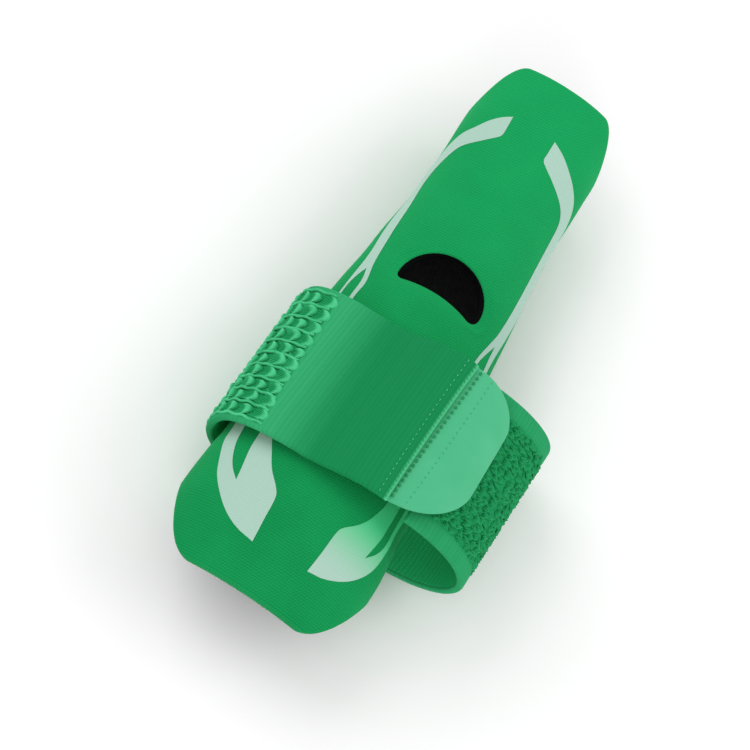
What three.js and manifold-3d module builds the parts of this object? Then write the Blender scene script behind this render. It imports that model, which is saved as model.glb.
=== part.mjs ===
// Finger support wrap: a tapered open sleeve with a vent hole, an elastic strap that goes once round it and
// fastens on itself, and the rounded tab that holds the strap's end.
// Millimetres. +Y points to the finger's tip, +X to the loose side of the strap, and +Z is the front.
// It lies on its back, on the flat run of the strap.

import * as THREE from 'three';
import * as BufferGeometryUtils from 'three/addons/utils/BufferGeometryUtils.js';
import Module from 'manifold-3d';

const wasm = await Module();
wasm.setup();

// Sizes

const gap = 0.3; // between pieces that touch

const sleeve = {
  length: 78.8, // from the front edge at the tip to the front edge at the mouth
  wall: 1.6,
  tipWidth: 18.1,
  mouthWidth: 27.2,
  tipDepth: 12.8,
  fullDepth: 16, // where it is deepest, near the mouth
  tipFlap: 7.4, // how far the front stands out past the back at the tip
  mouthFlap: 8.8,
  flapFlat: 37, // degrees from the front's middle to where each flap's corner starts
  flapEnd: 95, // and to where the corner has run out
  frontRound: 2.1, // the squareness of its front half, where 2 is an ellipse
  backRound: 2.4, // the back is a little flattened, because the wrap lies on it
};

const strap = {
  width: 22,
  thickness: 1.6, // with its pile
  plainThickness: 1.1, // where it is smooth woven
  fromTip: 40.2, // from the sleeve's tip edge to the strap's near edge
  stand: 10.6, // how far the loose side stands out past the sleeve's flank
  riseTip: 1.3, // how far the loose side arches above the sleeve's front, at the strap's tip edge
  riseMouth: 0, // and at its mouth edge
  slackTip: 1.05, // spare room at the tight side, at the tip edge
  slackMouth: 0.75,
  shoulderTip: 2.6, // the squareness of the tight side's bend, at the tip edge
  shoulderMouth: 2.8,
  plainTip: 19.7, // the smooth woven stretch, from the pile to the strap's end, at the tip edge
  plainMouth: 17.6,
  pileFade: 1, // over which the pile runs out
  hidden: 6.4, // from where its line starts to its own first edge, under the tab
};

const tab = {
  thickness: 0.9,
  length: 10,
  behind: 1.2, // from where the strap's line starts to the tab's hidden edge
  lapTip: 3.9, // how far it reaches under the strap's end, at the tip edge
  lapMouth: 2.6,
  mouthInset: 0.5, // how far its side stays within the strap's mouth edge
  tipCorner: 6,
  mouthCorner: 7.2,
  hiddenCorner: 2.6,
};

const vent = {
  width: 12.1,
  height: 5.6,
  sag: 0.6, // how far the lower edge bows towards the tip
  corner: 1.2,
  fromTip: 33.5, // from the sleeve's tip edge to the lower edge's ends
  aside: 0.35, // to the right of the middle
};

// The sleeve along its length, from tip to mouth. At is a share of the length. Wide is 0 at the tip's width
// and 1 at the mouth's, deep is 0 at the tip's depth and 1 at the full depth, and lift is a share of the strap
// and gap below.
const sections = [
  { at: 0, wide: 0, deep: 0, lift: 1 },
  { at: 0.12, wide: 0.02, deep: 0, lift: 1 },
  { at: 0.25, wide: 0.05, deep: 0.02, lift: 1 },
  { at: 0.36, wide: 0.26, deep: 0.05, lift: 1 },
  { at: 0.46, wide: 0.45, deep: 0.12, lift: 1 },
  { at: 0.56, wide: 0.62, deep: 0.36, lift: 1 },
  { at: 0.68, wide: 0.75, deep: 0.72, lift: 1 },
  { at: 0.78, wide: 0.84, deep: 1, lift: 1 },
  { at: 0.86, wide: 1, deep: 0.98, lift: 0.2 },
  { at: 0.93, wide: 1, deep: 0.5, lift: 0 },
  { at: 1, wide: 0.98, deep: -0.12, lift: 0 },
];

// Shares of the sleeve's flank, which is half its width at that place
const strapStart = 0.4; // where the strap's line starts, right of the front's middle
const leaveFrom = 0.1; // where it starts to leave the sleeve
const levelFrom = 0.85; // where it has left the sleeve and runs level
const climbFrom = -0.22; // where the strap's end starts to climb over its start

// Shares of the flank at the middle of the strap
const bulgeCentre = 0.9; // where the flat run at the back ends, right of the middle
const backFlat = 0.38; // and left of the middle

const meshSteps = {
  sleeveAround: 48,
  sleeveAlong: 22,
  strapLoose: 32,
  strapBack: 3,
  strapTight: 40,
  strapAcross: 4,
  tabAlong: 18,
  tabAcross: 6,
};
const routeSteps = { front: 12, bulge: 32, quarter: 14, overStart: 14 };

// The sleeve's form

// A table's column at a place between its rows, on a smooth curve through them
function readTable(rows, at, column) {
  const last = rows.length - 1;
  const next = Math.max(1, rows.findIndex((row) => row.at >= at));
  const i = at >= rows[last].at ? last : next;
  const slope = (k) => {
    const a = rows[Math.max(0, k - 1)];
    const b = rows[Math.min(last, k + 1)];
    return (b[column] - a[column]) / (b.at - a.at);
  };
  const span = rows[i].at - rows[i - 1].at;
  const t = (THREE.MathUtils.clamp(at, 0, 1) - rows[i - 1].at) / span;
  const start = rows[i - 1][column] * (2 * t ** 3 - 3 * t ** 2 + 1);
  const end = rows[i][column] * (3 * t ** 2 - 2 * t ** 3);
  const leaving = slope(i - 1) * span * (t ** 3 - 2 * t ** 2 + t);
  const arriving = slope(i) * span * (t ** 3 - t ** 2);
  return start + end + leaving + arriving;
}

function sectionAt(at) {
  const depth = THREE.MathUtils.lerp(sleeve.tipDepth, sleeve.fullDepth, readTable(sections, at, 'deep'));
  const width = THREE.MathUtils.lerp(sleeve.tipWidth, sleeve.mouthWidth, readTable(sections, at, 'wide'));
  const lift = Math.max(0, readTable(sections, at, 'lift')) * (strap.thickness + gap);
  return { flank: width / 2, rise: depth / 2, middle: lift + depth / 2 };
}

const ellipse = 2; // the squareness of an ellipse, more is squarer

function rounded(value, squareness) {
  return Math.sign(value) * Math.abs(value) ** (2 / squareness);
}

const placeOf = (at) => -at * sleeve.length;
const shareOf = (y) => -y / sleeve.length;

// A point of the sleeve's outer face, or one that lies deeper by inset. Turn is the angle from the front's
// middle.
function sleevePoint(at, turn, inset) {
  const { flank, rise, middle } = sectionAt(at);
  const squareness = Math.cos(turn) > 0 ? sleeve.frontRound : sleeve.backRound;
  const x = (flank - inset) * rounded(Math.sin(turn), squareness);
  const z = middle + (rise - inset) * rounded(Math.cos(turn), squareness);
  return new THREE.Vector3(x, placeOf(at), z);
}

// How far the edge has drawn back from the flap's front, at this angle
function flapDrop(turn, flap) {
  const degrees = Math.abs(THREE.MathUtils.radToDeg(turn));
  return flap * THREE.MathUtils.smoothstep(degrees, sleeve.flapFlat, sleeve.flapEnd);
}

// Closed meshes from rings of points

// Joins each ring to the next. Ends are closed by joining each ring's first half to its second half, read
// backwards.
function skin(rings, { endless }) {
  const count = rings[0].length;
  const positions = rings.flat().flatMap((p) => [p.x, p.y, p.z]);
  const faces = [];
  const quad = (a, b, c, d) => faces.push(a, b, c, a, c, d);
  const joins = endless ? rings.length : rings.length - 1;
  for (let r = 0; r < joins; r += 1) {
    const here = r * count;
    const there = ((r + 1) % rings.length) * count;
    for (let i = 0; i < count; i += 1) {
      const j = (i + 1) % count;
      quad(here + i, here + j, there + j, there + i);
    }
  }
  if (!endless) {
    const last = (rings.length - 1) * count;
    for (let i = 0; i + 1 < count / 2; i += 1) {
      const across = count - 1 - i;
      quad(i, across, across - 1, i + 1);
      quad(last + i, last + i + 1, last + across - 1, last + across);
    }
  }
  const geometry = new THREE.BufferGeometry();
  geometry.setAttribute('position', new THREE.Float32BufferAttribute(positions, 3));
  geometry.setIndex(faces);
  return geometry;
}

function toSolid(geometry) {
  const bare = geometry.clone();
  bare.deleteAttribute('normal');
  bare.deleteAttribute('uv');
  const merged = BufferGeometryUtils.mergeVertices(bare);
  const vertProperties = new Float32Array(merged.attributes.position.array);
  const triVerts = new Uint32Array(merged.index.array);
  return new wasm.Manifold(new wasm.Mesh({ numProp: 3, vertProperties, triVerts }));
}

function toGeometry(solid) {
  const { vertProperties, triVerts } = solid.getMesh();
  const geometry = new THREE.BufferGeometry();
  geometry.setAttribute('position', new THREE.BufferAttribute(vertProperties, 3));
  geometry.setIndex(new THREE.BufferAttribute(triVerts, 1));
  return geometry;
}

// Sleeve

function sleeveShell() {
  const rings = [];
  for (let i = 0; i < meshSteps.sleeveAround; i += 1) {
    const turn = ((i + 0.5) / meshSteps.sleeveAround) * 2 * Math.PI - Math.PI;
    const tipEdge = flapDrop(turn, sleeve.tipFlap) / sleeve.length;
    const mouthEdge = 1 - flapDrop(turn, sleeve.mouthFlap) / sleeve.length;
    const outside = [];
    const inside = [];
    for (let k = 0; k <= meshSteps.sleeveAlong; k += 1) {
      const at = THREE.MathUtils.lerp(tipEdge, mouthEdge, k / meshSteps.sleeveAlong);
      outside.push(sleevePoint(at, turn, 0));
      inside.unshift(sleevePoint(at, turn, sleeve.wall));
    }
    rings.push([...outside, ...inside]);
  }
  return skin(rings, { endless: true });
}

// A half moon that goes through the front wall, from the hollow's middle to above the front
function ventCutter() {
  const half = vent.width / 2;
  const outline = new THREE.Shape();
  outline.moveTo(half, vent.corner);
  outline.absellipse(0, vent.corner, half, vent.height - vent.corner, 0, Math.PI, false);
  outline.quadraticCurveTo(-half, 0, -half + vent.corner, 0);
  outline.quadraticCurveTo(0, 2 * vent.sag, half - vent.corner, 0);
  outline.quadraticCurveTo(half, 0, half, vent.corner);
  const { rise, middle } = sectionAt(vent.fromTip / sleeve.length);
  const height = rise + sleeve.wall;
  const cutter = new THREE.ExtrudeGeometry(outline, { depth: height, bevelEnabled: false, curveSegments: 14 });
  return cutter.translate(vent.aside, -vent.fromTip, middle);
}

function makeSleeve() {
  return toGeometry(toSolid(sleeveShell()).subtract(toSolid(ventCutter())));
}

// Strap

// What the strap's inner face follows at one place along the sleeve
function strapFrame(y) {
  const { flank, rise, middle } = sectionAt(shareOf(y));
  const along = THREE.MathUtils.clamp((-y - strap.fromTip) / strap.width, 0, 1);
  const wideFlank = sectionAt((strap.fromTip + strap.width / 2) / sleeve.length).flank;
  const crown = middle + rise + gap;
  return {
    flank,
    rise,
    middle,
    crown,
    top: crown + THREE.MathUtils.lerp(strap.riseTip, strap.riseMouth, along),
    tight: flank + gap + THREE.MathUtils.lerp(strap.slackTip, strap.slackMouth, along),
    shoulder: THREE.MathUtils.lerp(strap.shoulderTip, strap.shoulderMouth, along),
    reach: wideFlank + strap.stand - strap.thickness,
    backRight: bulgeCentre * wideFlank,
    backLeft: -backFlat * wideFlank,
    plain: THREE.MathUtils.lerp(strap.plainTip, strap.plainMouth, along),
    lap: THREE.MathUtils.lerp(tab.lapTip, tab.lapMouth, along),
  };
}

// The height of the strap's inner face where it lies on the sleeve's front
function onFront(frame, x) {
  const share = Math.min(1, Math.abs(x) / (frame.flank + gap));
  const squareness = sleeve.frontRound;
  return frame.middle + (frame.rise + gap) * (1 - share ** squareness) ** (1 / squareness);
}

// The same height, where the strap leaves the sleeve towards the loose side
function leavingFront(frame, x) {
  const away = THREE.MathUtils.smoothstep(x, leaveFrom * frame.flank, levelFrom * frame.flank);
  return THREE.MathUtils.lerp(onFront(frame, x), frame.top, away);
}

function arc(centreX, centreZ, reachX, reachZ, fromTurn, toTurn, squareness, steps) {
  return Array.from({ length: steps + 1 }, (_, i) => {
    const turn = THREE.MathUtils.degToRad(THREE.MathUtils.lerp(fromTurn, toTurn, i / steps));
    const x = centreX + reachX * rounded(Math.sin(turn), squareness);
    return new THREE.Vector2(x, centreZ + reachZ * rounded(Math.cos(turn), squareness));
  });
}

// The first run: from the line's start over the front, and round the loose side to the flat back
function firstRun(frame) {
  const from = strapStart * frame.flank;
  const centre = frame.backRight;
  const front = Array.from({ length: routeSteps.front }, (_, i) => {
    const x = THREE.MathUtils.lerp(from, centre, i / routeSteps.front);
    return new THREE.Vector2(x, leavingFront(frame, x));
  });
  const half = (frame.top - strap.thickness) / 2;
  const reach = frame.reach - centre;
  const bulge = arc(centre, strap.thickness + half, reach, half, 0, 180, ellipse, routeSteps.bulge);
  return [...front, ...bulge];
}

// The rest: round the tight side, over the front, and up over the strap's own start to its end
function restOfRun(frame) {
  const { middle, tight, shoulder, crown, flank, backLeft } = frame;
  const lowRise = middle - strap.thickness;
  const low = arc(backLeft, middle, tight + backLeft, lowRise, 180, 270, ellipse, routeSteps.quarter);
  const climb = climbFrom * flank;
  const atClimb = THREE.MathUtils.radToDeg(Math.asin((-climb / tight) ** (shoulder / 2)));
  const highRise = crown - middle;
  const high = arc(0, middle, tight, highRise, 270, 360 - atClimb, shoulder, routeSteps.quarter);
  const toTab = startOnTab(frame);
  const atStart = high.at(-1).y - leavingFront(frame, climb);
  const overTab = strap.thickness + tab.thickness + 2 * gap;
  const below = measure(Array.from({ length: 2 * routeSteps.overStart + 1 }, (_, i) => {
    const x = THREE.MathUtils.lerp(climb, toTab + frame.lap, i / (2 * routeSteps.overStart));
    return new THREE.Vector2(x, leavingFront(frame, x));
  }));
  const over = Array.from({ length: routeSteps.overStart + 1 }, (_, i) => {
    const { point, out } = standingOn(below, (below.length * i) / routeSteps.overStart);
    const climbed = THREE.MathUtils.smoothstep(point.x, climb, toTab - gap);
    return point.addScaledVector(out, THREE.MathUtils.lerp(atStart, overTab, climbed));
  });
  return [...low, ...high.slice(1, -1), ...over];
}

// Where the tab's hidden edge lies
const startOnTab = (frame) => strapStart * frame.flank + tab.behind;

function measure(points) {
  const marks = [0];
  points.slice(1).forEach((point, i) => marks.push(marks[i] + point.distanceTo(points[i])));
  return { points, marks, length: marks.at(-1) };
}

function pointAlong(line, distance) {
  const found = line.marks.findIndex((mark) => mark >= distance);
  const i = found === -1 ? line.marks.length - 1 : Math.max(1, found);
  const t = (distance - line.marks[i - 1]) / (line.marks[i] - line.marks[i - 1]);
  return line.points[i - 1].clone().lerp(line.points[i], t);
}

const near = 0.35; // a line's direction is measured this far to each side

// A point of the line, and the direction away from the finger there
function standingOn(line, distance) {
  const here = THREE.MathUtils.clamp(distance, near, line.length - near);
  const ahead = pointAlong(line, here + near).sub(pointAlong(line, here - near)).normalize();
  return { point: pointAlong(line, distance), out: new THREE.Vector2(-ahead.y, ahead.x) };
}

const place = (flat, y) => new THREE.Vector3(flat.x, y, flat.y);

// The strap's whole line, and where its flat run at the back starts and ends
function strapLine(frame) {
  const first = firstRun(frame);
  const rest = restOfRun(frame);
  const backFrom = measure(first).length;
  const backTo = measure([...first, rest[0]]).length;
  return { ...measure([...first, ...rest]), backFrom, backTo };
}

// Distances along the line for the rings of the strap. Two of them bound the flat run in every row.
function ringDistances(line) {
  const stops = [strap.hidden, line.backFrom + near, line.backTo - near, line.length];
  const counts = [meshSteps.strapLoose, meshSteps.strapBack, meshSteps.strapTight];
  const legs = counts.flatMap((count, leg) => Array.from({ length: count }, (_, i) => (
    THREE.MathUtils.lerp(stops[leg], stops[leg + 1], (i + 1) / count)
  )));
  return [strap.hidden, ...legs];
}

const tipEdgeOfStrap = -strap.fromTip;
const mouthEdgeOfStrap = -strap.fromTip - strap.width;

function makeStrap() {
  const across = meshSteps.strapAcross;
  const rows = Array.from({ length: across + 1 }, (_, k) => {
    const y = THREE.MathUtils.lerp(mouthEdgeOfStrap, tipEdgeOfStrap, k / across);
    const frame = strapFrame(y);
    const line = strapLine(frame);
    return { y, line, distances: ringDistances(line), plain: frame.plain };
  });
  const rings = [];
  for (let i = 0; i < rows[0].distances.length; i += 1) {
    const inner = [];
    const outer = [];
    for (const { y, line, distances, plain } of rows) {
      const distance = distances[i];
      const pileEnd = line.length - plain;
      const smooth = THREE.MathUtils.smoothstep(distance, pileEnd - strap.pileFade, pileEnd);
      const thickness = THREE.MathUtils.lerp(strap.thickness, strap.plainThickness, smooth);
      const { point, out } = standingOn(line, distance);
      inner.push(place(point, y));
      outer.unshift(place(point.clone().addScaledVector(out, thickness), y));
    }
    rings.push([...inner, ...outer]);
  }
  return skin(rings, { endless: false });
}

// Tab

// How far a rounded corner has drawn the tab's side in, at this distance from the end that it is at
function cornerInset(toEnd, radius) {
  const into = Math.max(0, radius - toEnd);
  return radius - Math.sqrt(Math.max(0, radius ** 2 - into ** 2));
}

function makeTab() {
  const rings = [];
  for (let i = 0; i <= meshSteps.tabAlong; i += 1) {
    const share = (1 - Math.cos((i / meshSteps.tabAlong) * Math.PI)) / 2; // closer together at both ends
    const distance = tab.length * share;
    const toEnd = tab.length - distance;
    const hiddenInset = cornerInset(distance, tab.hiddenCorner);
    const lowest = mouthEdgeOfStrap + tab.mouthInset + hiddenInset + cornerInset(toEnd, tab.mouthCorner);
    const highest = tipEdgeOfStrap - hiddenInset - cornerInset(toEnd, tab.tipCorner);
    const inner = [];
    const outer = [];
    for (let k = 0; k <= meshSteps.tabAcross; k += 1) {
      const y = THREE.MathUtils.lerp(lowest, highest, k / meshSteps.tabAcross);
      const frame = strapFrame(y);
      const { point, out } = standingOn(measure(firstRun(frame)), tab.behind + distance);
      const under = strap.thickness + gap;
      inner.push(place(point.clone().addScaledVector(out, under), y));
      outer.unshift(place(point.clone().addScaledVector(out, under + tab.thickness), y));
    }
    rings.push([...inner, ...outer]);
  }
  return skin(rings, { endless: false });
}

// Assembly

function mesh(name, geometry, colour, roughness) {
  geometry.computeVertexNormals();
  const material = new THREE.MeshStandardMaterial({ color: colour, roughness, metalness: 0 });
  const piece = new THREE.Mesh(geometry, material);
  piece.name = name;
  return piece;
}

const wrap = new THREE.Group();
wrap.add(mesh('sleeve', makeSleeve(), '#1c9f58', 0.85));
wrap.add(mesh('strap', makeStrap(), '#27a063', 0.8));
wrap.add(mesh('hook_tab', makeTab(), '#52be8a', 0.5));

// The origin is under the middle of the whole wrap, on the surface that it lies on
const bounds = new THREE.Box3().setFromObject(wrap, true);
const middle = bounds.getCenter(new THREE.Vector3());
wrap.position.set(-middle.x, -middle.y, -bounds.min.z);

export default wrap;
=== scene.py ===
import math

import bmesh
import bpy
import numpy as np
from mathutils import Matrix, Vector


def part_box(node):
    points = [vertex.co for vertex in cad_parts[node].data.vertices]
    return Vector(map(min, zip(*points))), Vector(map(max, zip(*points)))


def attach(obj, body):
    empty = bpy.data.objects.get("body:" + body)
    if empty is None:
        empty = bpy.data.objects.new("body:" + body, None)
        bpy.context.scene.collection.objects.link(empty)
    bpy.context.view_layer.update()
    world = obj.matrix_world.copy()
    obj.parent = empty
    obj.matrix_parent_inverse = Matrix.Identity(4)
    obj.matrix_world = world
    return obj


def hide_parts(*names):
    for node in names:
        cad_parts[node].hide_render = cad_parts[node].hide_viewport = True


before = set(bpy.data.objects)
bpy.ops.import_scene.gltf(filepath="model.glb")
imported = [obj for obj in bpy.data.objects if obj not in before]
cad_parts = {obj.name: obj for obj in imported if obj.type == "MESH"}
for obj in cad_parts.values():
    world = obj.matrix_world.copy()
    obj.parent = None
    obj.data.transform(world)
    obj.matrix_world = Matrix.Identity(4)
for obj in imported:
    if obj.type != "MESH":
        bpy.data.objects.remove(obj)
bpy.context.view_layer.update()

# Looks of a finger support wrap: a soft sleeve with a vent, and a pile strap that fastens on itself with
# a tab. Row frame, in metres: +Y to the finger's tip, +X to the strap's loose side, +Z the front.
# The sizes below are in mm.

mm = 0.001

# Colours and nodes


def linear(hexColour):  # sRGB hex to a linear colour with alpha
    parts = [int(hexColour[i:i + 2], 16) / 255 for i in (1, 3, 5)]
    return tuple(c / 12.92 if c <= 0.04045 else ((c + 0.055) / 1.055) ** 2.4 for c in parts) + (1.0,)


def addNode(tree, kind, *values, inputs=None, **settings):
    # Values fill the sockets in their order, and inputs by name. A node or a socket among them is linked.
    node = tree.nodes.new(kind)
    for name, value in settings.items():
        setattr(node, name, value)
    for key, value in [*enumerate(values), *(inputs or {}).items()]:
        if isinstance(value, bpy.types.Node):
            value = value.outputs[0]
        if isinstance(value, bpy.types.NodeSocket):
            tree.links.new(value, node.inputs[key])
        else:
            node.inputs[key].default_value = value
    return node


# Meshes


def makeObject(name, points, faces=(), materials=(), slots=None, uvs=None, uvName="clothMm", edges=()):
    # Points are in metres. There is one slot for each face, and one UV place for each of its corners.
    mesh = bpy.data.meshes.new(name)
    mesh.from_pydata(np.asarray(points).tolist(), list(edges), np.asarray(faces).tolist())
    mesh.polygons.foreach_set("use_smooth", [True] * len(mesh.polygons))
    for material in materials:
        mesh.materials.append(material)
    if slots is not None:
        mesh.polygons.foreach_set("material_index", np.asarray(slots, np.int32))
    if uvs is not None:
        layer = mesh.uv_layers.new(name=uvName)
        layer.uv.foreach_set("vector", np.asarray(uvs, np.float32).ravel())
    mesh.update()
    made = bpy.data.objects.new(name, mesh)
    bpy.context.scene.collection.objects.link(made)
    return made


def keepOnPoints(made, kind, field, named):  # values for each point, which nodes read by name
    for label, values in named.items():
        layer = made.data.attributes.new(label, kind, "POINT")
        layer.data.foreach_set(field, np.asarray(values, np.float32).ravel())


def gridQuads(rows, columns, order=(0, 1, 2, 3), first=0):  # the faces of a grid of points, row after row
    k, i = np.divmod(np.arange((rows - 1) * (columns - 1)), columns - 1)
    corner = first + k * columns + i
    return np.stack([corner, corner + columns, corner + columns + 1, corner + 1], -1)[:, order]


def ringAround(k0, k1, i0, i1):  # the places, as row and column, round a block of a grid
    ring = [(k0, i) for i in range(i0, i1)] + [(k, i1) for k in range(k0, k1)]
    return ring + [(k1, i) for i in range(i1, i0, -1)] + [(k, i0) for k in range(k1, k0, -1)]


def smoothstep(value, low, high):
    t = np.clip((value - low) / (high - low), 0, 1)
    return t * t * (3 - 2 * t)


def mix(a, b, share):
    return a + (b - a) * share


# The solids' sizes, and the sleeve's form

sleeveLow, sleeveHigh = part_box("sleeve")
sleeve = {
    "length": (sleeveHigh.y - sleeveLow.y) / mm,
    "axisX": (sleeveLow.x + sleeveHigh.x) / 2 / mm,
    "tipY": sleeveHigh.y / mm,
    "wall": 1.6, "tipWidth": 18.1, "mouthWidth": 27.2, "tipDepth": 12.8, "fullDepth": 16.0,
    "tipFlap": 7.4, "mouthFlap": 8.8, "flapFlat": 37, "flapEnd": 95,
    "frontRound": 2.1, "backRound": 2.4,
    "around": 192, "along": 150, "rimReach": 0.4, "rimRound": 0.6, "rimLoops": 7, "faceWrap": 2.5,
}
# From the sleeve's tip edge at 0 to its mouth at 1: how far its width has grown to the mouth's and its
# depth to the fullest, and the share of the strap's thickness under it that lifts it
sections = [
    {"at": 0.0, "wide": 0.0, "deep": 0.0, "lift": 1.0},
    {"at": 0.12, "wide": 0.02, "deep": 0.0, "lift": 1.0},
    {"at": 0.25, "wide": 0.05, "deep": 0.02, "lift": 1.0},
    {"at": 0.36, "wide": 0.26, "deep": 0.05, "lift": 1.0},
    {"at": 0.46, "wide": 0.45, "deep": 0.12, "lift": 1.0},
    {"at": 0.56, "wide": 0.62, "deep": 0.36, "lift": 1.0},
    {"at": 0.68, "wide": 0.75, "deep": 0.72, "lift": 1.0},
    {"at": 0.78, "wide": 0.84, "deep": 1.0, "lift": 1.0},
    {"at": 0.86, "wide": 1.0, "deep": 0.98, "lift": 0.2},
    {"at": 0.93, "wide": 1.0, "deep": 0.5, "lift": 0.0},
    {"at": 1.0, "wide": 0.98, "deep": -0.12, "lift": 0.0},
]
strap = {
    "gap": 0.3, "width": 22.0, "thickness": 1.6, "plainThickness": 1.1, "fromTip": 40.2, "stand": 10.6,
    "riseTip": 1.3, "riseMouth": 0.0, "slackTip": 1.05, "slackMouth": 0.75, "shoulderTip": 2.6,
    "shoulderMouth": 2.8, "crease": 0.8, "creaseReach": 5.0, "plainTip": 19.7, "plainMouth": 17.6,
    "pileFade": 1.0, "hidden": 6.4, "start": 0.4, "leaveFrom": 0.1, "levelFrom": 0.85,
    "bulgeCentre": 0.9, "backFlat": 0.38, "climbFrom": -0.22,
}
tab = {
    "thickness": 0.9, "length": 10.0, "behind": 1.2, "lapTip": 3.9, "lapMouth": 2.6, "mouthInset": 0.5,
    "tipCorner": 6.0, "mouthCorner": 7.2, "hiddenCorner": 2.6,
}


def readTable(rows, at, column):  # a smooth curve through a table's column
    places = np.array([row["at"] for row in rows])
    values = np.array([row[column] for row in rows])
    before = np.r_[0, np.arange(len(rows) - 1)]
    after = np.r_[np.arange(1, len(rows)), len(rows) - 1]
    slopes = (values[after] - values[before]) / (places[after] - places[before])
    at = np.clip(at, places[0], places[-1])
    i = np.clip(np.searchsorted(places, at), 1, len(rows) - 1)
    span = places[i] - places[i - 1]
    t = (at - places[i - 1]) / span
    ends = values[i - 1] * (2 * t ** 3 - 3 * t ** 2 + 1) + values[i] * (3 * t ** 2 - 2 * t ** 3)
    bends = slopes[i - 1] * (t ** 3 - 2 * t ** 2 + t) + slopes[i] * (t ** 3 - t ** 2)
    return ends + span * bends


def sectionAt(at):
    depth = mix(sleeve["tipDepth"], sleeve["fullDepth"], readTable(sections, at, "deep"))
    width = mix(sleeve["tipWidth"], sleeve["mouthWidth"], readTable(sections, at, "wide"))
    lift = np.maximum(0, readTable(sections, at, "lift")) * (strap["thickness"] + strap["gap"])
    return width / 2, depth / 2, lift + depth / 2


def rounded(value, squareness):
    return np.sign(value) * np.abs(value) ** (2 / squareness)


give = {  # how far the cloth gives, in mm: under the strap, in slow waves and in small ripples
    "squeeze": 0.16, "squeezeFrom": 0.5, "squeezeFade": 2.5, "waves": 0.06, "waveStep": 0.33,
    "waveTwist": 2.2, "ripples": 0.035, "rippleStep": 0.71, "rippleTwist": 1.6,
}


def dent(at, turn):  # the other numbers in its waves only shift them round the sleeve
    fromTip = at * sleeve["length"]
    near = strap["fromTip"] + give["squeezeFrom"]
    far = strap["fromTip"] + strap["width"] - give["squeezeFrom"]
    past = smoothstep(fromTip, near - give["squeezeFade"], near)
    squeeze = give["squeeze"] * past * (1 - smoothstep(fromTip, far, far + give["squeezeFade"]))
    wave = np.sin(give["waveStep"] * fromTip + give["waveTwist"] * np.cos(turn) + 0.7)
    ripple = np.sin(give["rippleStep"] * fromTip - give["rippleTwist"] * np.sin(turn + 0.5))
    waves = give["waves"] * wave * np.cos(1.5 * turn - 0.4)
    return squeeze + waves + give["ripples"] * ripple * np.sin(2 * turn + 1.1)


def sleevePoint(at, turn, inset):  # in mm, before it is put in the row frame
    flank, rise, middle = sectionAt(at)
    squareness = np.where(np.cos(turn) > 0, sleeve["frontRound"], sleeve["backRound"])
    depth = inset + dent(at, turn)
    x = (flank - depth) * rounded(np.sin(turn), squareness)
    z = middle + (rise - depth) * rounded(np.cos(turn), squareness)
    return np.stack(np.broadcast_arrays(x, -at * sleeve["length"], z), -1)


def inRow(points):
    return (np.asarray(points) + [sleeve["axisX"], sleeve["tipY"], 0]) * mm


def flapDrop(turn, flap):
    return flap * smoothstep(np.abs(np.degrees(turn)), sleeve["flapFlat"], sleeve["flapEnd"])


# How far a place lies round the sleeve from the front's middle line, in mm, and the way back

girthTurns = np.linspace(0, math.pi, 181)
girthAts = np.linspace(0, 1, 121)
flankOut, riseOut = (part[:, None] for part in sectionAt(girthAts)[:2])
girthRound = np.where(np.cos(girthTurns) > 0, sleeve["frontRound"], sleeve["backRound"])
girthX = flankOut * rounded(np.sin(girthTurns), girthRound)
girthZ = riseOut * rounded(np.cos(girthTurns), girthRound)
girthSteps = np.hypot(np.diff(girthX, axis=1), np.diff(girthZ, axis=1))
girthTable = np.concatenate([np.zeros((len(girthAts), 1)), np.cumsum(girthSteps, axis=1)], axis=1)


def girthRow(at):  # the distances round the sleeve at one place
    place = np.clip(at, 0, 1) * (len(girthAts) - 1)
    i = min(int(place), len(girthAts) - 2)
    return mix(girthTable[i], girthTable[i + 1], place - i)


def asideOf(at, turn):
    at, turn = np.broadcast_arrays(at, turn)
    place = np.clip(at, 0, 1) * (len(girthAts) - 1)
    i = np.minimum(place.astype(int), len(girthAts) - 2)
    j = np.abs(turn) / math.pi * (len(girthTurns) - 1)
    k = np.minimum(j.astype(int), len(girthTurns) - 2)
    low = mix(girthTable[i, k], girthTable[i, k + 1], j - k)
    high = mix(girthTable[i + 1, k], girthTable[i + 1, k + 1], j - k)
    return np.sign(turn) * mix(low, high, place - i)


def turnOf(at, aside):
    return math.copysign(float(np.interp(abs(aside), girthRow(at), girthTurns)), aside)


# Materials

noise = {"Detail": 2.0, "Roughness": 0.55}  # what each noise starts from


def startMaterial(name):
    material = bpy.data.materials.new(name)
    material.use_nodes = True
    material.node_tree.nodes.clear()
    return material, material.node_tree


def finishMaterial(tree, share, height, finish, layers=(), constants=None):
    # The finish's two colours are mixed by the share. Each layer is a place and the colour laid over it.
    # A bump is a depth in mm and a strength.
    colour, light = map(linear, finish["colours"])
    for where, over in ((share, light), *layers):
        mixed = addNode(tree, "ShaderNodeMix", where, inputs={6: colour, 7: over}, data_type="RGBA")
        colour = mixed.outputs[2]
    depth, strength = finish["bump"]
    bump = addNode(tree, "ShaderNodeBump", inputs={
        "Height": height, "Distance": depth * mm, "Strength": strength})
    shader = addNode(tree, "ShaderNodeBsdfPrincipled", inputs={
        "Base Color": colour, "Roughness": finish["roughness"], "Specular IOR Level": finish["specular"],
        "Normal": bump, **(constants or {})})
    addNode(tree, "ShaderNodeOutputMaterial", shader)


def humps(tree, coordinate, period):  # 0 to 1, one hump in each period of mm
    turned = addNode(tree, "ShaderNodeMath", coordinate, 2 * math.pi / period, operation="MULTIPLY")
    sine = addNode(tree, "ShaderNodeMath", turned, operation="SINE")
    return addNode(tree, "ShaderNodeMath", sine, 0.5, 0.5, operation="MULTIPLY_ADD")


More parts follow.
